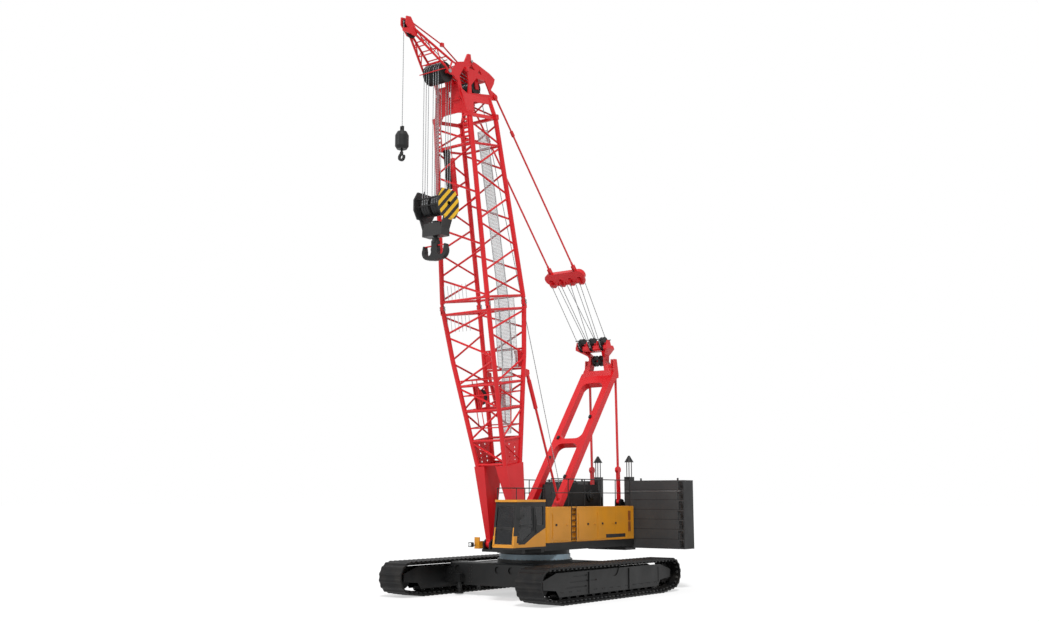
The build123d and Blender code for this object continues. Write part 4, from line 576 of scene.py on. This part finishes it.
class CRANE_OT_walkway(bpy.types.Operator):
    """Builds the open grating of the boom's catwalk: side rails, rungs and crossed mesh strips"""
    bl_idname = "crane.walkway"
    bl_label = "Walkway grating"

    def landings(self, step):
        """Grating beside the walkway where the boom is deepest."""
        parts = []
        s0, n0 = LANDING_LOW, walkway_forward(LANDING_LOW)
        s1, n1 = LANDING_HIGH, walkway_forward(LANDING_HIGH)
        for y0, y1 in ((-0.16, 0.06), (0.58, 0.9)):
            for y in (y0, y1):
                parts.append(tube(in_boom(n0, y, s0), in_boom(n1, y, s1), 0.018, 8))
            for k in (1, 2, 3):
                y = y0 + (y1 - y0) * k / 4
                parts.append(tube(in_boom(n0, y, s0), in_boom(n1, y, s1), 0.006, 6))
            rung = plate((-0.01, y0, -0.01), (0.01, y1, 0.01), 0)
            count = int((s1 - s0) / step)
            places = []
            for i in range(count + 1):
                s = s0 + (s1 - s0) * i / count
                places.append(BOOM_FRAME @ Matrix.Translation((n0 + (n1 - n0) * i / count, 0, s)))
            parts += copies(rung, places)
        return parts

    def execute(self, context):
        step = context.scene.crane.rung_spacing
        parts = []
        for (s0, n0), (s1, n1) in zip(WALKWAY_ROWS, WALKWAY_ROWS[1:]):
            for y in (0.06, 0.58):
                parts.append(tube(in_boom(n0, y, s0), in_boom(n1, y, s1), 0.022, 8))
            for y in (0.12, 0.18, 0.24, 0.3, 0.36, 0.42, 0.48, 0.54):
                parts.append(tube(in_boom(n0, y, s0), in_boom(n1, y, s1), 0.007, 6))
        rung = plate((-0.012, 0.07, -0.012), (0.012, 0.57, 0.012), 0)
        places = []
        low, high = WALKWAY_ROWS[0][0], WALKWAY_ROWS[-1][0]
        count = int((high - low) / step)
        for i in range(count + 1):
            s = low + (high - low) * i / count
            places.append(BOOM_FRAME @ Matrix.Translation((walkway_forward(s), 0, s)))
        parts += copies(rung, places)
        parts += self.landings(step)
        for s in (5.8, 6.87, 8.25, 9.98, 10.53, 17.05):
            depth = boom_section(s)[1]
            chord = in_boom(-depth + 0.05, 0.32, s)
            parts.append(tube(chord, in_boom(walkway_forward(s), 0.32, s), 0.03, 10))
        whole = hand_over("walkway_grating", parts, "galvanised_grating", "boom")
        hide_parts("boom_walkway")
        return {"FINISHED"}


class CRANE_OT_joint_pins(bpy.types.Operator):
    """Pins the boom's sections together: two shouldered pins with nuts at each of the four chords"""
    bl_idname = "crane.joint_pins"
    bl_label = "Boom joint pins"

    def execute(self, context):
        w, d = boom_section(BOOM_JOINT)
        pin = joined("pin", [
            tube((0, -0.1, 0), (0, 0.1, 0), 0.035, 16, 0.006),
            tube((0, 0.1, 0), (0, 0.125, 0), 0.05, 6, 0.004),
            tube((0, -0.125, 0), (0, -0.1, 0), 0.055, 16, 0.006),
        ])
        places = []
        for n in (-d, d):
            for y in (-w, w):
                for s in (BOOM_JOINT - 0.05, BOOM_JOINT + 0.05):
                    places.append(BOOM_FRAME @ Matrix.Translation((n, y, s)))
        hand_over("boom_joint_pins", copies(pin, places), "zinc_plated_bolts", "boom")
        return {"FINISHED"}


def ladder_plate(low, high, bars):
    """A long plate pierced by square holes, standing along the boom: a frame with cross strips."""
    n, y0, s0 = low
    y1, s1 = high
    strips = [
        plate((n - 0.012, y0, s0), (n + 0.012, y0 + 0.05, s1), 0.004),
        plate((n - 0.012, y1 - 0.05, s0), (n + 0.012, y1, s1), 0.004),
    ]
    for i in range(bars):
        s = s0 + (s1 - s0 - 0.09) * i / (bars - 1)
        strips.append(plate((n - 0.01, y0 + 0.03, s), (n + 0.01, y1 - 0.03, s + 0.09), 0.004))
    for strip in strips:
        strip.data.transform(BOOM_FRAME)
    return strips


class CRANE_OT_base_braces(bpy.types.Operator):
    """Adds the light rungs and middle posts in the lowest bays of the boom's base section"""
    bl_idname = "crane.base_braces"
    bl_label = "Base braces"

    def execute(self, context):
        bars = []
        rows = (5.05, 5.75, 6.45, 7.1)
        for s in rows:
            w, d = boom_section(s)
            for n in (d, -d):
                bars.append(tube(in_boom(n, -w, s), in_boom(n, w, s), 0.026, 12))
            for y in (w, -w):
                bars.append(tube(in_boom(-d, y, s), in_boom(d, y, s), 0.026, 12))
        for s0, s1 in zip(rows, rows[1:]):
            (w0, d0), (w1, d1) = boom_section(s0), boom_section(s1)
            for side in (1, -1):
                bars.append(tube(in_boom(0, side * w0, s0), in_boom(0, side * w1, s1), 0.022, 12))
                bars.append(tube(in_boom(side * d0, 0, s0), in_boom(side * d1, 0, s1), 0.022, 12))
        hand_over("base_section_braces", bars, "boom_red_enamel", "boom")
        return {"FINISHED"}


class CRANE_OT_boom_inside(bpy.types.Operator):
    """Hangs the overhoist weight and its guide in the boom, with pierced plates and rails on its front"""
    bl_idname = "crane.boom_inside"
    bl_label = "Boom inside"

    def execute(self, context):
        weight = plate((0.57, -0.8, 15.35), (0.77, -0.58, 17.1), 0.02)
        weight.data.transform(BOOM_FRAME)
        hand_over("overhoist_weight", [weight], "machinery_black_enamel", "boom")
        guide = plate((0.62, -0.52, 15.0), (0.72, -0.3, 16.65), 0.012)
        guide.data.transform(BOOM_FRAME)
        width, depth = boom_section(17.2)
        parts = [guide, tube(in_boom(0.67, -width, 17.15), in_boom(0.67, width, 17.15), 0.04, 12)]
        parts.append(tube(in_boom(0.67, -0.41, 16.6), in_boom(0.67, -0.41, 17.15), 0.02, 10))
        for side in (1, -1):
            edge = side * (boom_section(17.6)[0] - 0.06)
            parts += ladder_plate((depth + 0.07, min(edge, edge - side * 0.3), 16.95),
                                  (max(edge, edge - side * 0.3), 18.3), 8)
        hand_over("overhoist_guide", parts, "boom_red_enamel", "boom")
        rails = []
        for s0, s1 in ((9.2, 9.9), (10.6, 11.2)):
            for i in range(7):
                y = -1.1 + 0.2 * i
                depth = boom_section((s0 + s1) / 2)[1] - 0.02
                rails.append(tube(in_boom(depth, y, s0), in_boom(depth, y, s1), 0.012, 8))
        hand_over("front_rails", rails, "galvanised_grating", "boom")
        return {"FINISHED"}


class CRANE_OT_head_trim(bpy.types.Operator):
    """Adds rope guards, shaft struts, a switch box and pin caps to the boom's head"""
    bl_idname = "crane.head_trim"
    bl_label = "Head trim"

    def execute(self, context):
        parts = []
        for n, s in ((2.06, 20.1), (1.62, 20.55)):
            parts.append(tube(in_boom(n, -0.6, s), in_boom(n, 0.6, s), 0.022, 12))
        for side in (-0.6, 0.6):
            parts.append(tube(in_boom(1.7, side, 20.2), in_boom(2.06, side, 20.1), 0.02, 10))
        box = plate((0.35, 0.66, 20.2), (0.55, 0.72, 20.4), 0.01)
        box.data.transform(BOOM_FRAME)
        parts.append(box)
        for side in (1, -1):
            y = side * 0.605
            axle = in_boom(MAIN_SHEAVE[0], y, MAIN_SHEAVE[1])
            bend = in_boom(1.3, y, 20.54)
            parts.append(tube(in_boom(1.8, y, 20.29), axle, 0.045, 14))
            parts.append(tube(bend, axle, 0.04, 14))
            parts.append(tube(bend, in_boom(1.0, y, 20.45), 0.04, 14))
        hand_over("head_guards", parts, "boom_red_enamel", "boom")
        pins = []
        # forward, along, radius
        for n, s, r in ((*MAIN_SHEAVE, 0.085), (-1.38, 19.3, 0.08), (0.05, 20.69, 0.06)):
            for side in (-1, 1):
                y = side * 0.66
                pins.append(tube(in_boom(n, y, s), in_boom(n, y + side * 0.05, s), r, 20, 0.008))
        hand_over("head_pin_caps", pins, "zinc_plated_bolts", "boom")
        return {"FINISHED"}


# ---- undercarriage ----

SHOES = 78
SHOE_THICKNESS = 0.08
TRACK_ACROSS = 3.63
# the end wheels' shafts and radius with the shoes on, and half of what lies flat on the ground
WHEEL_X = 4.72
WHEEL_Z = 0.81
WHEEL_RADIUS = 0.68
FLAT_HALF = 3.9
ARC_STEPS = 40


def track_places(count):
    """Even places round the track's loop with the outward direction, (x, z, nx, nz)."""
    run = WHEEL_X - FLAT_HALF
    distance = math.hypot(run, WHEEL_Z)
    tangent = math.atan2(-WHEEL_Z, -run) + math.acos(WHEEL_RADIUS / distance)
    points = [(-FLAT_HALF, 0.0), (FLAT_HALF, 0.0)]
    for i in range(ARC_STEPS + 1):
        angle = tangent + (math.pi / 2 - tangent) * i / ARC_STEPS
        points.append((WHEEL_X + WHEEL_RADIUS * math.cos(angle), WHEEL_Z + WHEEL_RADIUS * math.sin(angle)))
    for x, z in reversed(points[2:]):
        points.append((-x, z))
    spans = []
    for i, (x, z) in enumerate(points):
        nx, nz = points[(i + 1) % len(points)]
        spans.append((x, z, nx - x, nz - z, math.hypot(nx - x, nz - z)))
    total = sum(span[-1] for span in spans)
    places = []
    for i in range(count):
        left = total * (i + 0.5) / count
        for x, z, dx, dz, length in spans:
            if left <= length:
                break
            left -= length
        places.append((x + dx * left / length, z + dz * left / length, dz / length, -dx / length))
    return places


class CRANE_OT_track_shoes(bpy.types.Operator):
    """Lays two rows of guide lugs inside each track, one pair to a shoe"""
    bl_idname = "crane.track_shoes"
    bl_label = "Track shoe details"

    def execute(self, context):
        for side, word in ((1, "left"), (-1, "right")):
            lug = plate((-0.055, -0.15, 0.0), (0.055, -0.05, 0.075), 0.012)
            places = []
            for x, z, nx, nz in track_places(SHOES):
                inward = Vector((-nx, 0, -nz))
                ahead = Vector((nz, 0, -nx))
                turn = Matrix((
                    (ahead.x, 0, inward.x, x - nx * SHOE_THICKNESS),
                    (0, 1, 0, side * TRACK_ACROSS),
                    (ahead.z, 0, inward.z, z - nz * SHOE_THICKNESS),
                    (0, 0, 0, 1),
                ))
                for y in (-0.38, 0.58):
                    places.append(turn @ Matrix.Translation((0, y, 0)))
            hand_over("track_guide_lugs_" + word, copies(lug, places), "worn_track_steel", "undercarriage")
        return {"FINISHED"}


RING_BOLTS = 48


class CRANE_OT_ring_bolts(bpy.types.Operator):
    """Bolts the slewing ring down all round"""
    bl_idname = "crane.ring_bolts"
    bl_label = "Slewing ring bolts"

    def execute(self, context):
        bolt = tube((1.6, 0, 1.52), (1.6, 0, 1.56), 0.024, 6, 0.004)
        places = [Matrix.Rotation(2 * math.pi * i / RING_BOLTS, 4, "Z") for i in range(RING_BOLTS)]
        hand_over("slew_ring_bolts", copies(bolt, places), "zinc_plated_bolts", "undercarriage")
        return {"FINISHED"}


# ---- house ----

def flange_cover(x, y, z, side, radius):
    """A round gearbox cover with a rim, a hub and a ring of bolts on a winch's side plate."""
    parts = [
        tube((x, y, z), (x, y + side * 0.07, z), radius, 32, 0.012),
        tube((x, y, z), (x, y + side * 0.13, z), radius * 0.55, 28, 0.012),
    ]
    bolt = tube((x + radius * 0.82, y + side * 0.07, z), (x + radius * 0.82, y + side * 0.09, z), 0.018, 6)
    hub = Matrix.Translation((x, 0, z))
    turns = [hub @ Matrix.Rotation(math.pi * i / 6, 4, "Y") @ hub.inverted() for i in range(12)]
    return parts + copies(bolt, turns)


class CRANE_OT_deck_machinery(bpy.types.Operator):
    """Fits gearbox covers to the winches, and a filler and a breather to the tank"""
    bl_idname = "crane.deck_machinery"
    bl_label = "Deck machinery"

    def execute(self, context):
        parts = []
        for _, x, z in WINCHES:
            for side in (1, -1):
                parts += flange_cover(x, side * 0.58, z, side, 0.26)
        parts.append(tube((-2.1, 0.25, 4.8), (-2.1, 0.25, 4.9), 0.07, 20, 0.012))
        parts.append(tube((-1.75, -0.25, 4.8), (-1.75, -0.25, 4.86), 0.1, 20, 0.012))
        hand_over("winch_covers", parts, "machinery_black_enamel", "upper")
        return {"FINISHED"}


class CRANE_OT_chassis_trim(bpy.types.Operator):
    """Bolts the cross beams and the track frames"""
    bl_idname = "crane.chassis_trim"
    bl_label = "Chassis trim"

    def execute(self, context):
        bolts = []
        for end in (1, -1):
            x = end * 2.2
            for side in (1, -1):
                for y in (1.78, 1.9, 2.92, 3.04):
                    for k in range(5):
                        z = 0.58 + 0.16 * k
                        bolts.append(tube((x, side * y, z), (x + end * 0.022, side * y, z), 0.022, 6))
        for side in (1, -1):
            y = side * 3.98
            for i in range(13):
                x = -3.6 + 0.6 * i
                for dx in (-0.07, 0.07):
                    bolts.append(tube((x + dx, y, 0.47), (x + dx, y + side * 0.018, 0.47), 0.02, 6))
        hand_over("chassis_bolts", bolts, "worn_track_steel", "undercarriage")
        return {"FINISHED"}


class CRANE_OT_house_trim(bpy.types.Operator):
    """Adds door latches, ladders, edge strips and brown radiator guards to both houses, and a blank plate"""
    bl_idname = "crane.house_trim"
    bl_label = "House trim"

    def execute(self, context):
        latches = []
        for side in (1, -1):
            wall = side * HOUSE_SIDE
            for x in (0.62, -1.83, -3.01, -4.12):
                if side < 0 and x > 0:
                    continue
                latches.append(plate((x - 0.06, wall, 2.96), (x + 0.06, wall + side * 0.018, 3.05), 0.005))
                low = (x - 0.045, wall + side * 0.018, 2.985)
                high = (x + 0.02, wall + side * 0.034, 3.02)
                latches.append(plate(low, high, 0.005))
        hand_over("door_latches", latches, "window_rubber", "upper")
        steps = []
        for wall in (HOUSE_SIDE, -HOUSE_SIDE):
            for x in (-0.89, -0.53):
                steps.append(tube((x, wall, 2.32), (x, wall, 3.95), 0.02, 10))
            for i in range(6):
                z = 2.42 + 0.25 * i
                steps.append(tube((-0.89, wall, z), (-0.53, wall, z), 0.016, 10))
        hand_over("house_ladder", steps, "machinery_black_enamel", "upper")
        blank = plate((-4.95, HOUSE_SIDE, 2.36), (-3.3, HOUSE_SIDE + 0.006, 2.52), 0.003)
        hand_over("blank_plate", [blank], "window_rubber", "upper")
        strips = []
        for side in (1, -1):
            for inset, z, r, sides in ((0.015, 3.745, 0.022, 12), (0.004, 2.3, 0.014, 10)):
                y = side * (HOUSE_SIDE - inset)
                strips.append(tube((-5.6, y, z), (1.1, y, z), r, sides))
        hand_over("house_edge_strips", strips, "house_yellow_enamel", "upper")
        for side, word in ((1, "left"), (-1, "right")):
            wall = side * HOUSE_SIDE
            slats = []
            for z0 in (2.62, 3.12):
                for i in range(9):
                    z = z0 + 0.05 * i
                    slats.append(plate((-5.42, wall, z), (-5.2, wall + side * 0.02, z + 0.028), 0.004))
            hand_over("radiator_guard_" + word, slats, "radiator_guard_brown", "upper")
        return {"FINISHED"}


class CRANE_OT_mast_trim(bpy.types.Operator):
    """Puts small brackets on the mast's legs and rope guards over its head"""
    bl_idname = "crane.mast_trim"
    bl_label = "Mast trim"

    def execute(self, context):
        foot, head = Vector((0.3, 0, 2.52)), Vector((-5.25, 0, 9.95))
        run = (head - foot).normalized()
        face = Vector((run.z, 0, -run.x))
        frame_of_mast = Matrix((
            (face.x, 0, run.x, foot.x), (0, 1, 0, 0), (face.z, 0, run.z, foot.z), (0, 0, 0, 1)))
        brackets = []
        for along, side in ((5.3, -1), (4.1, -1), (6.5, 1), (3.0, 1)):
            lug = plate((0.16, side * 0.6, along), (0.24, side * 0.72, along + 0.16), 0.01)
            lug.data.transform(frame_of_mast)
            brackets.append(lug)
        hand_over("mast_brackets", brackets, "machinery_black_enamel", "mast")
        guards = []
        for dx in (0.3, -0.3):
            x, z = MAST_SHEAVE.x + dx, MAST_SHEAVE.z + 0.2
            guards.append(tube((x, -0.82, z), (x, 0.82, z), 0.022, 12))
        hand_over("mast_rope_guards", guards, "machinery_black_enamel", "mast")
        return {"FINISHED"}


SLABS = 7
WEIGHT_BOTTOM = 1.82
WEIGHT_TOP = 4.96


class CRANE_OT_weight_trim(bpy.types.Operator):
    """Adds lifting lugs to every slab of the counterweight, and a pale strip across its front"""
    bl_idname = "crane.weight_trim"
    bl_label = "Counterweight trim"

    def execute(self, context):
        for side, word in ((1, "left"), (-1, "right")):
            lugs = []
            pitch = (WEIGHT_TOP - WEIGHT_BOTTOM) / SLABS
            for i in range(SLABS):
                z = WEIGHT_BOTTOM + pitch * (i + 0.5)
                for x in (-5.81, -6.5):
                    low = (x - 0.03, side * 4.12, z - 0.14)
                    high = (x + 0.03, side * 4.245, z + 0.14)
                    lugs.append(plate(low, high, 0.012))
                    lugs.append(tube((x, side * 4.05, z), (x, side * 4.14, z), 0.035, 14, 0.006))
            hand_over("slab_lugs_" + word, lugs, "machinery_black_enamel", "upper")
            strip = plate((-5.822, side * 1.12, 4.452), (-5.808, side * 4.08, 4.47), 0.003)
            hand_over("slab_edge_strip_" + word, [strip], "zinc_plated_bolts", "upper")
        return {"FINISHED"}


class CRANE_OT_foot_lamp(bpy.types.Operator):
    """Hangs a black work lamp on an arm beside the boom's right foot"""
    bl_idname = "crane.foot_lamp"
    bl_label = "Foot lamp"

    def execute(self, context):
        y = -1.42
        parts = [
            tube((2.4, y, 2.14), (2.72, y, 2.14), 0.02, 12),
            plate((2.62, y - 0.11, 2.07), (2.78, y + 0.11, 2.27), 0.03),
        ]
        hand_over("foot_lamp_case", parts, "window_rubber", "upper")
        glass = tube((2.775, y, 2.17), (2.792, y, 2.17), 0.08, 24, 0.006)
        hand_over("foot_lamp_lens", [glass], "lamp_polycarbonate", "upper")
        return {"FINISHED"}


# ---- cab ----

class CRANE_OT_cab_trim(bpy.types.Operator):
    """Adds a wiper, a mirror and a grab rail to the cab"""
    bl_idname = "crane.cab_trim"
    bl_label = "Cab trim"

    def execute(self, context):
        parts = [
            tube((4.56, 1.7, 3.02), (4.50, 2.1, 3.6), 0.012, 8),
            tube((4.66, 1.75, 2.92), (4.57, 1.7, 3.02), 0.014, 8),
            tube((4.35, 2.43, 3.3), (4.5, 2.62, 3.4), 0.014, 8),
            plate((4.46, 2.56, 3.36), (4.5, 2.72, 3.66), 0.015),
            tube((3.2, 2.44, 2.75), (3.2, 2.44, 3.45), 0.016, 10),
        ]
        for z in (2.78, 3.42):
            parts.append(tube((3.2, 2.41, z), (3.2, 2.44, z), 0.014, 8))
        hand_over("cab_fittings", parts, "window_rubber", "upper")
        return {"FINISHED"}


# the cab's slanted front, from its foot up
CAB_FRONT = Matrix.Translation((4.72, 0, 2.19)) @ Matrix.Rotation(math.atan2(-0.24, 1.8), 4, "Y")


def window_rim(low, high, width, depth, top=True):
    """Bars round a window in the cab's slanted front, from across and up, with or without the top one."""
    (y0, u0), (y1, u1) = low, high
    bars = [
        plate((0, y0 - width, u0 - width), (depth, y0, u1 + width), 0.006),
        plate((0, y1, u0 - width), (depth, y1 + width, u1 + width), 0.006),
        plate((0, y0 - width, u0 - width), (depth, y1 + width, u0), 0.006),
    ]
    if top:
        bars.append(plate((0, y0 - width, u1), (depth, y1 + width, u1 + width), 0.006))
    for bar in bars:
        bar.data.transform(CAB_FRONT)
    return bars


class CRANE_OT_cab_front(bpy.types.Operator):
    """Frames the cab's two front windows and fits out the driver's place"""
    bl_idname = "crane.cab_front"
    bl_label = "Cab front"

    def execute(self, context):
        rims = window_rim((1.45, 0.82), (2.3, 1.6), 0.025, 0.012)
        rims += window_rim((1.47, 0.15), (2.28, 0.72), 0.02, 0.01)
        hand_over("front_window_gaskets", rims, "window_rubber", "upper")
        outer = window_rim((1.43, 0.11), (2.32, 0.76), 0.045, 0.008, top=False)
        hand_over("lower_window_frame", outer, "house_yellow_enamel", "upper")
        inside = [
            plate((3.3, 1.52, 2.5), (3.95, 1.68, 3.0), 0.03),
            plate((3.3, 2.12, 2.5), (3.95, 2.28, 3.0), 0.03),
            plate((4.3, 1.6, 2.7), (4.42, 1.95, 3.15), 0.03),
        ]
        for y in (1.6, 2.2):
            inside.append(tube((3.8, y, 3.0), (3.88, y, 3.25), 0.014, 10))
            inside.append(tube((3.87, y, 3.23), (3.89, y, 3.3), 0.03, 12, 0.008))
        for y in (1.75, 1.95):
            inside.append(tube((4.25, y, 2.4), (4.35, y, 2.95), 0.012, 8))
        hand_over("driver_controls", inside, "seat_vinyl", "upper")
        return {"FINISHED"}


# ---- hooks ----

class CRANE_OT_hook_trim(bpy.types.Operator):
    """Adds the latches across the main hook's throats, and guards, nuts and bars to its block"""
    bl_idname = "crane.hook_trim"
    bl_label = "Hook trim"

    def execute(self, context):
        x0 = in_boom(MAIN_SHEAVE[0], 0, MAIN_SHEAVE[1]).x
        parts = []
        for side in (1, -1):
            parts.append(plate((x0 - 0.04, side * 0.13, 14.36), (x0 + 0.04, side * 0.56, 14.41), 0.01))
        hand_over("main_hook_latches", parts, "boom_red_enamel", "main_hook")
        guards = []
        for x, z in ((x0 - 0.5, 15.98), (x0 - 0.47, 16.3), (x0 + 0.5, 15.98), (x0 + 0.47, 16.3)):
            guards.append(tube((x, -0.64, z), (x, 0.64, z), 0.025, 12))
        for side in (1, -1):
            guards.append(tube((x0, side * 0.69, 16.07), (x0, side * 0.72, 16.07), 0.1, 6, 0.008))
            guards.append(tube((x0, side * 0.4, 15.0), (x0, side * 0.41, 15.31), 0.03, 12))
        hand_over("main_block_guards", guards, "machinery_black_enamel", "main_block")
        return {"FINISHED"}


# ---- stage ----

CAMERA_PLACE = (41.731, 30.694, 4.215)
CAMERA_YAW = 217.085
CAMERA_PITCH = 9.135
# in mm, on a sensor 36 mm wide
CAMERA_LENS = 39.95
CAMERA_SENSOR = 36


def stage_floor():
    pick()
    bpy.ops.mesh.primitive_plane_add(size=900, location=(0, 0, 0))
    floor = bpy.context.object
    floor.name = "studio_floor"
    material = bpy.data.materials.new("pale_studio_floor")
    material.use_nodes = True
    tree = material.node_tree
    tree.nodes.clear()
    # matt paper, lit as it stands and lifted to the backdrop's white for what sees it directly
    paper = add(tree, "ShaderNodeBsdfDiffuse", None, {"Color": linear("#F7F7F7")})
    glow = add(tree, "ShaderNodeEmission", None, {"Color": (1, 1, 1, 1), "Strength": 1.12})
    rays = add(tree, "ShaderNodeLightPath")
    seen = add(tree, "ShaderNodeMath", {"operation": "MAXIMUM"}, {
        0: rays.outputs["Is Camera Ray"], 1: rays.outputs["Is Glossy Ray"]})
    seen = add(tree, "ShaderNodeMath", {"operation": "MAXIMUM"}, {
        0: seen.outputs[0], 1: rays.outputs["Is Transmission Ray"]})
    share = add(tree, "ShaderNodeMath", {"operation": "MULTIPLY"}, {0: seen.outputs[0], 1: 0.5})
    feeds = {0: share.outputs[0], 1: paper.outputs[0], 2: glow.outputs[0]}
    both = add(tree, "ShaderNodeMixShader", None, feeds)
    add(tree, "ShaderNodeOutputMaterial", None, {"Surface": both.outputs[0]})
    floor.data.materials.append(material)


def stage_world():
    world = bpy.data.worlds.new("studio")
    bpy.context.scene.world = world
    world.use_nodes = True
    tree = world.node_tree
    tree.nodes.clear()
    rays = add(tree, "ShaderNodeLightPath")
    seen = add(tree, "ShaderNodeMath", {"operation": "MAXIMUM"}, {
        0: rays.outputs["Is Camera Ray"], 1: rays.outputs["Is Glossy Ray"]})
    seen = add(tree, "ShaderNodeMath", {"operation": "MAXIMUM"}, {
        0: seen.outputs[0], 1: rays.outputs["Is Transmission Ray"]})
    level = add(tree, "ShaderNodeMapRange", None, {0: seen.outputs[0], 3: 0.46, 4: 1.0})
    sky = add(tree, "ShaderNodeBackground", None, {"Color": (1, 1, 1, 1), "Strength": level.outputs[0]})
    add(tree, "ShaderNodeOutputWorld", None, {"Surface": sky.outputs[0]})


def stage_lights():
    for name, aim, strength, width in (
        ("key_light", (-0.55, -0.45, -0.9), 2.3, 9),
        ("front_light", (-0.8, 0.35, -0.35), 0.6, 25),
    ):
        light = bpy.data.lights.new(name, "SUN")
        light.energy = strength
        light.angle = math.radians(width)
        lamp = bpy.data.objects.new(name, light)
        lamp.rotation_euler = Vector(aim).to_track_quat("-Z", "Y").to_euler()
        bpy.context.collection.objects.link(lamp)


def stage_camera():
    data = bpy.data.cameras.new("camera")
    data.sensor_fit = "HORIZONTAL"
    data.sensor_width = CAMERA_SENSOR
    data.lens = CAMERA_LENS
    data.clip_end = 2000
    camera = bpy.data.objects.new("camera", data)
    yaw = math.radians(CAMERA_YAW)
    pitch = math.radians(CAMERA_PITCH)
    aim = Vector((math.cos(pitch) * math.cos(yaw), math.cos(pitch) * math.sin(yaw), math.sin(pitch)))
    camera.location = CAMERA_PLACE
    camera.rotation_euler = aim.to_track_quat("-Z", "Y").to_euler()
    bpy.context.collection.objects.link(camera)
    bpy.context.scene.camera = camera


class CRANE_OT_stage(bpy.types.Operator):
    """Sets the pale floor, the soft light and the camera"""
    bl_idname = "crane.stage"
    bl_label = "Studio stage"

    def execute(self, context):
        stage_floor()
        stage_world()
        stage_lights()
        stage_camera()
        context.scene.view_settings.view_transform = "Standard"
        return {"FINISHED"}


# ---- add-on ----

class CraneSettings(bpy.types.PropertyGroup):
    """Sizes that a user would change"""
    rope_diameter: FloatProperty(
        name="Rope diameter", description="Thickness of the wire ropes", default=0.034, min=0.01,
        unit="LENGTH", subtype="DISTANCE")
    rung_spacing: FloatProperty(
        name="Rung spacing", description="From one rung of the walkway to the next", default=0.06, min=0.03,
        unit="LENGTH", subtype="DISTANCE")


class CRANE_PT_panel(bpy.types.Panel):
    """Lists the crane's pieces"""
    bl_idname = "CRANE_PT_panel"
    bl_label = "Crawler crane"
    bl_space_type = "VIEW_3D"
    bl_region_type = "UI"
    bl_category = "Crane"

    def draw(self, context):
        settings = context.scene.crane
        self.layout.prop(settings, "rope_diameter")
        self.layout.prop(settings, "rung_spacing")
        for step in STEPS:
            self.layout.operator(step.bl_idname)


STEPS = (
    CRANE_OT_finishes, CRANE_OT_bridle_ropes, CRANE_OT_hoist_lines, CRANE_OT_drum_ropes, CRANE_OT_walkway,
    CRANE_OT_joint_pins, CRANE_OT_base_braces, CRANE_OT_boom_inside, CRANE_OT_head_trim, CRANE_OT_mast_trim,
    CRANE_OT_weight_trim, CRANE_OT_track_shoes, CRANE_OT_ring_bolts, CRANE_OT_house_trim,
    CRANE_OT_deck_machinery, CRANE_OT_chassis_trim, CRANE_OT_foot_lamp, CRANE_OT_cab_trim, CRANE_OT_cab_front,
    CRANE_OT_hook_trim, CRANE_OT_stage,
)


def register():
    bpy.utils.register_class(CraneSettings)
    for step in STEPS:
        bpy.utils.register_class(step)
    bpy.utils.register_class(CRANE_PT_panel)
    bpy.types.Scene.crane = PointerProperty(type=CraneSettings)


def unregister():
    del bpy.types.Scene.crane
    bpy.utils.unregister_class(CRANE_PT_panel)
    for step in reversed(STEPS):
        bpy.utils.unregister_class(step)
    bpy.utils.unregister_class(CraneSettings)


def main():
    register()
    for step in STEPS:
        group, action = step.bl_idname.split(".")
        getattr(getattr(bpy.ops, group), action)()


if __name__ == "__main__":
    main()
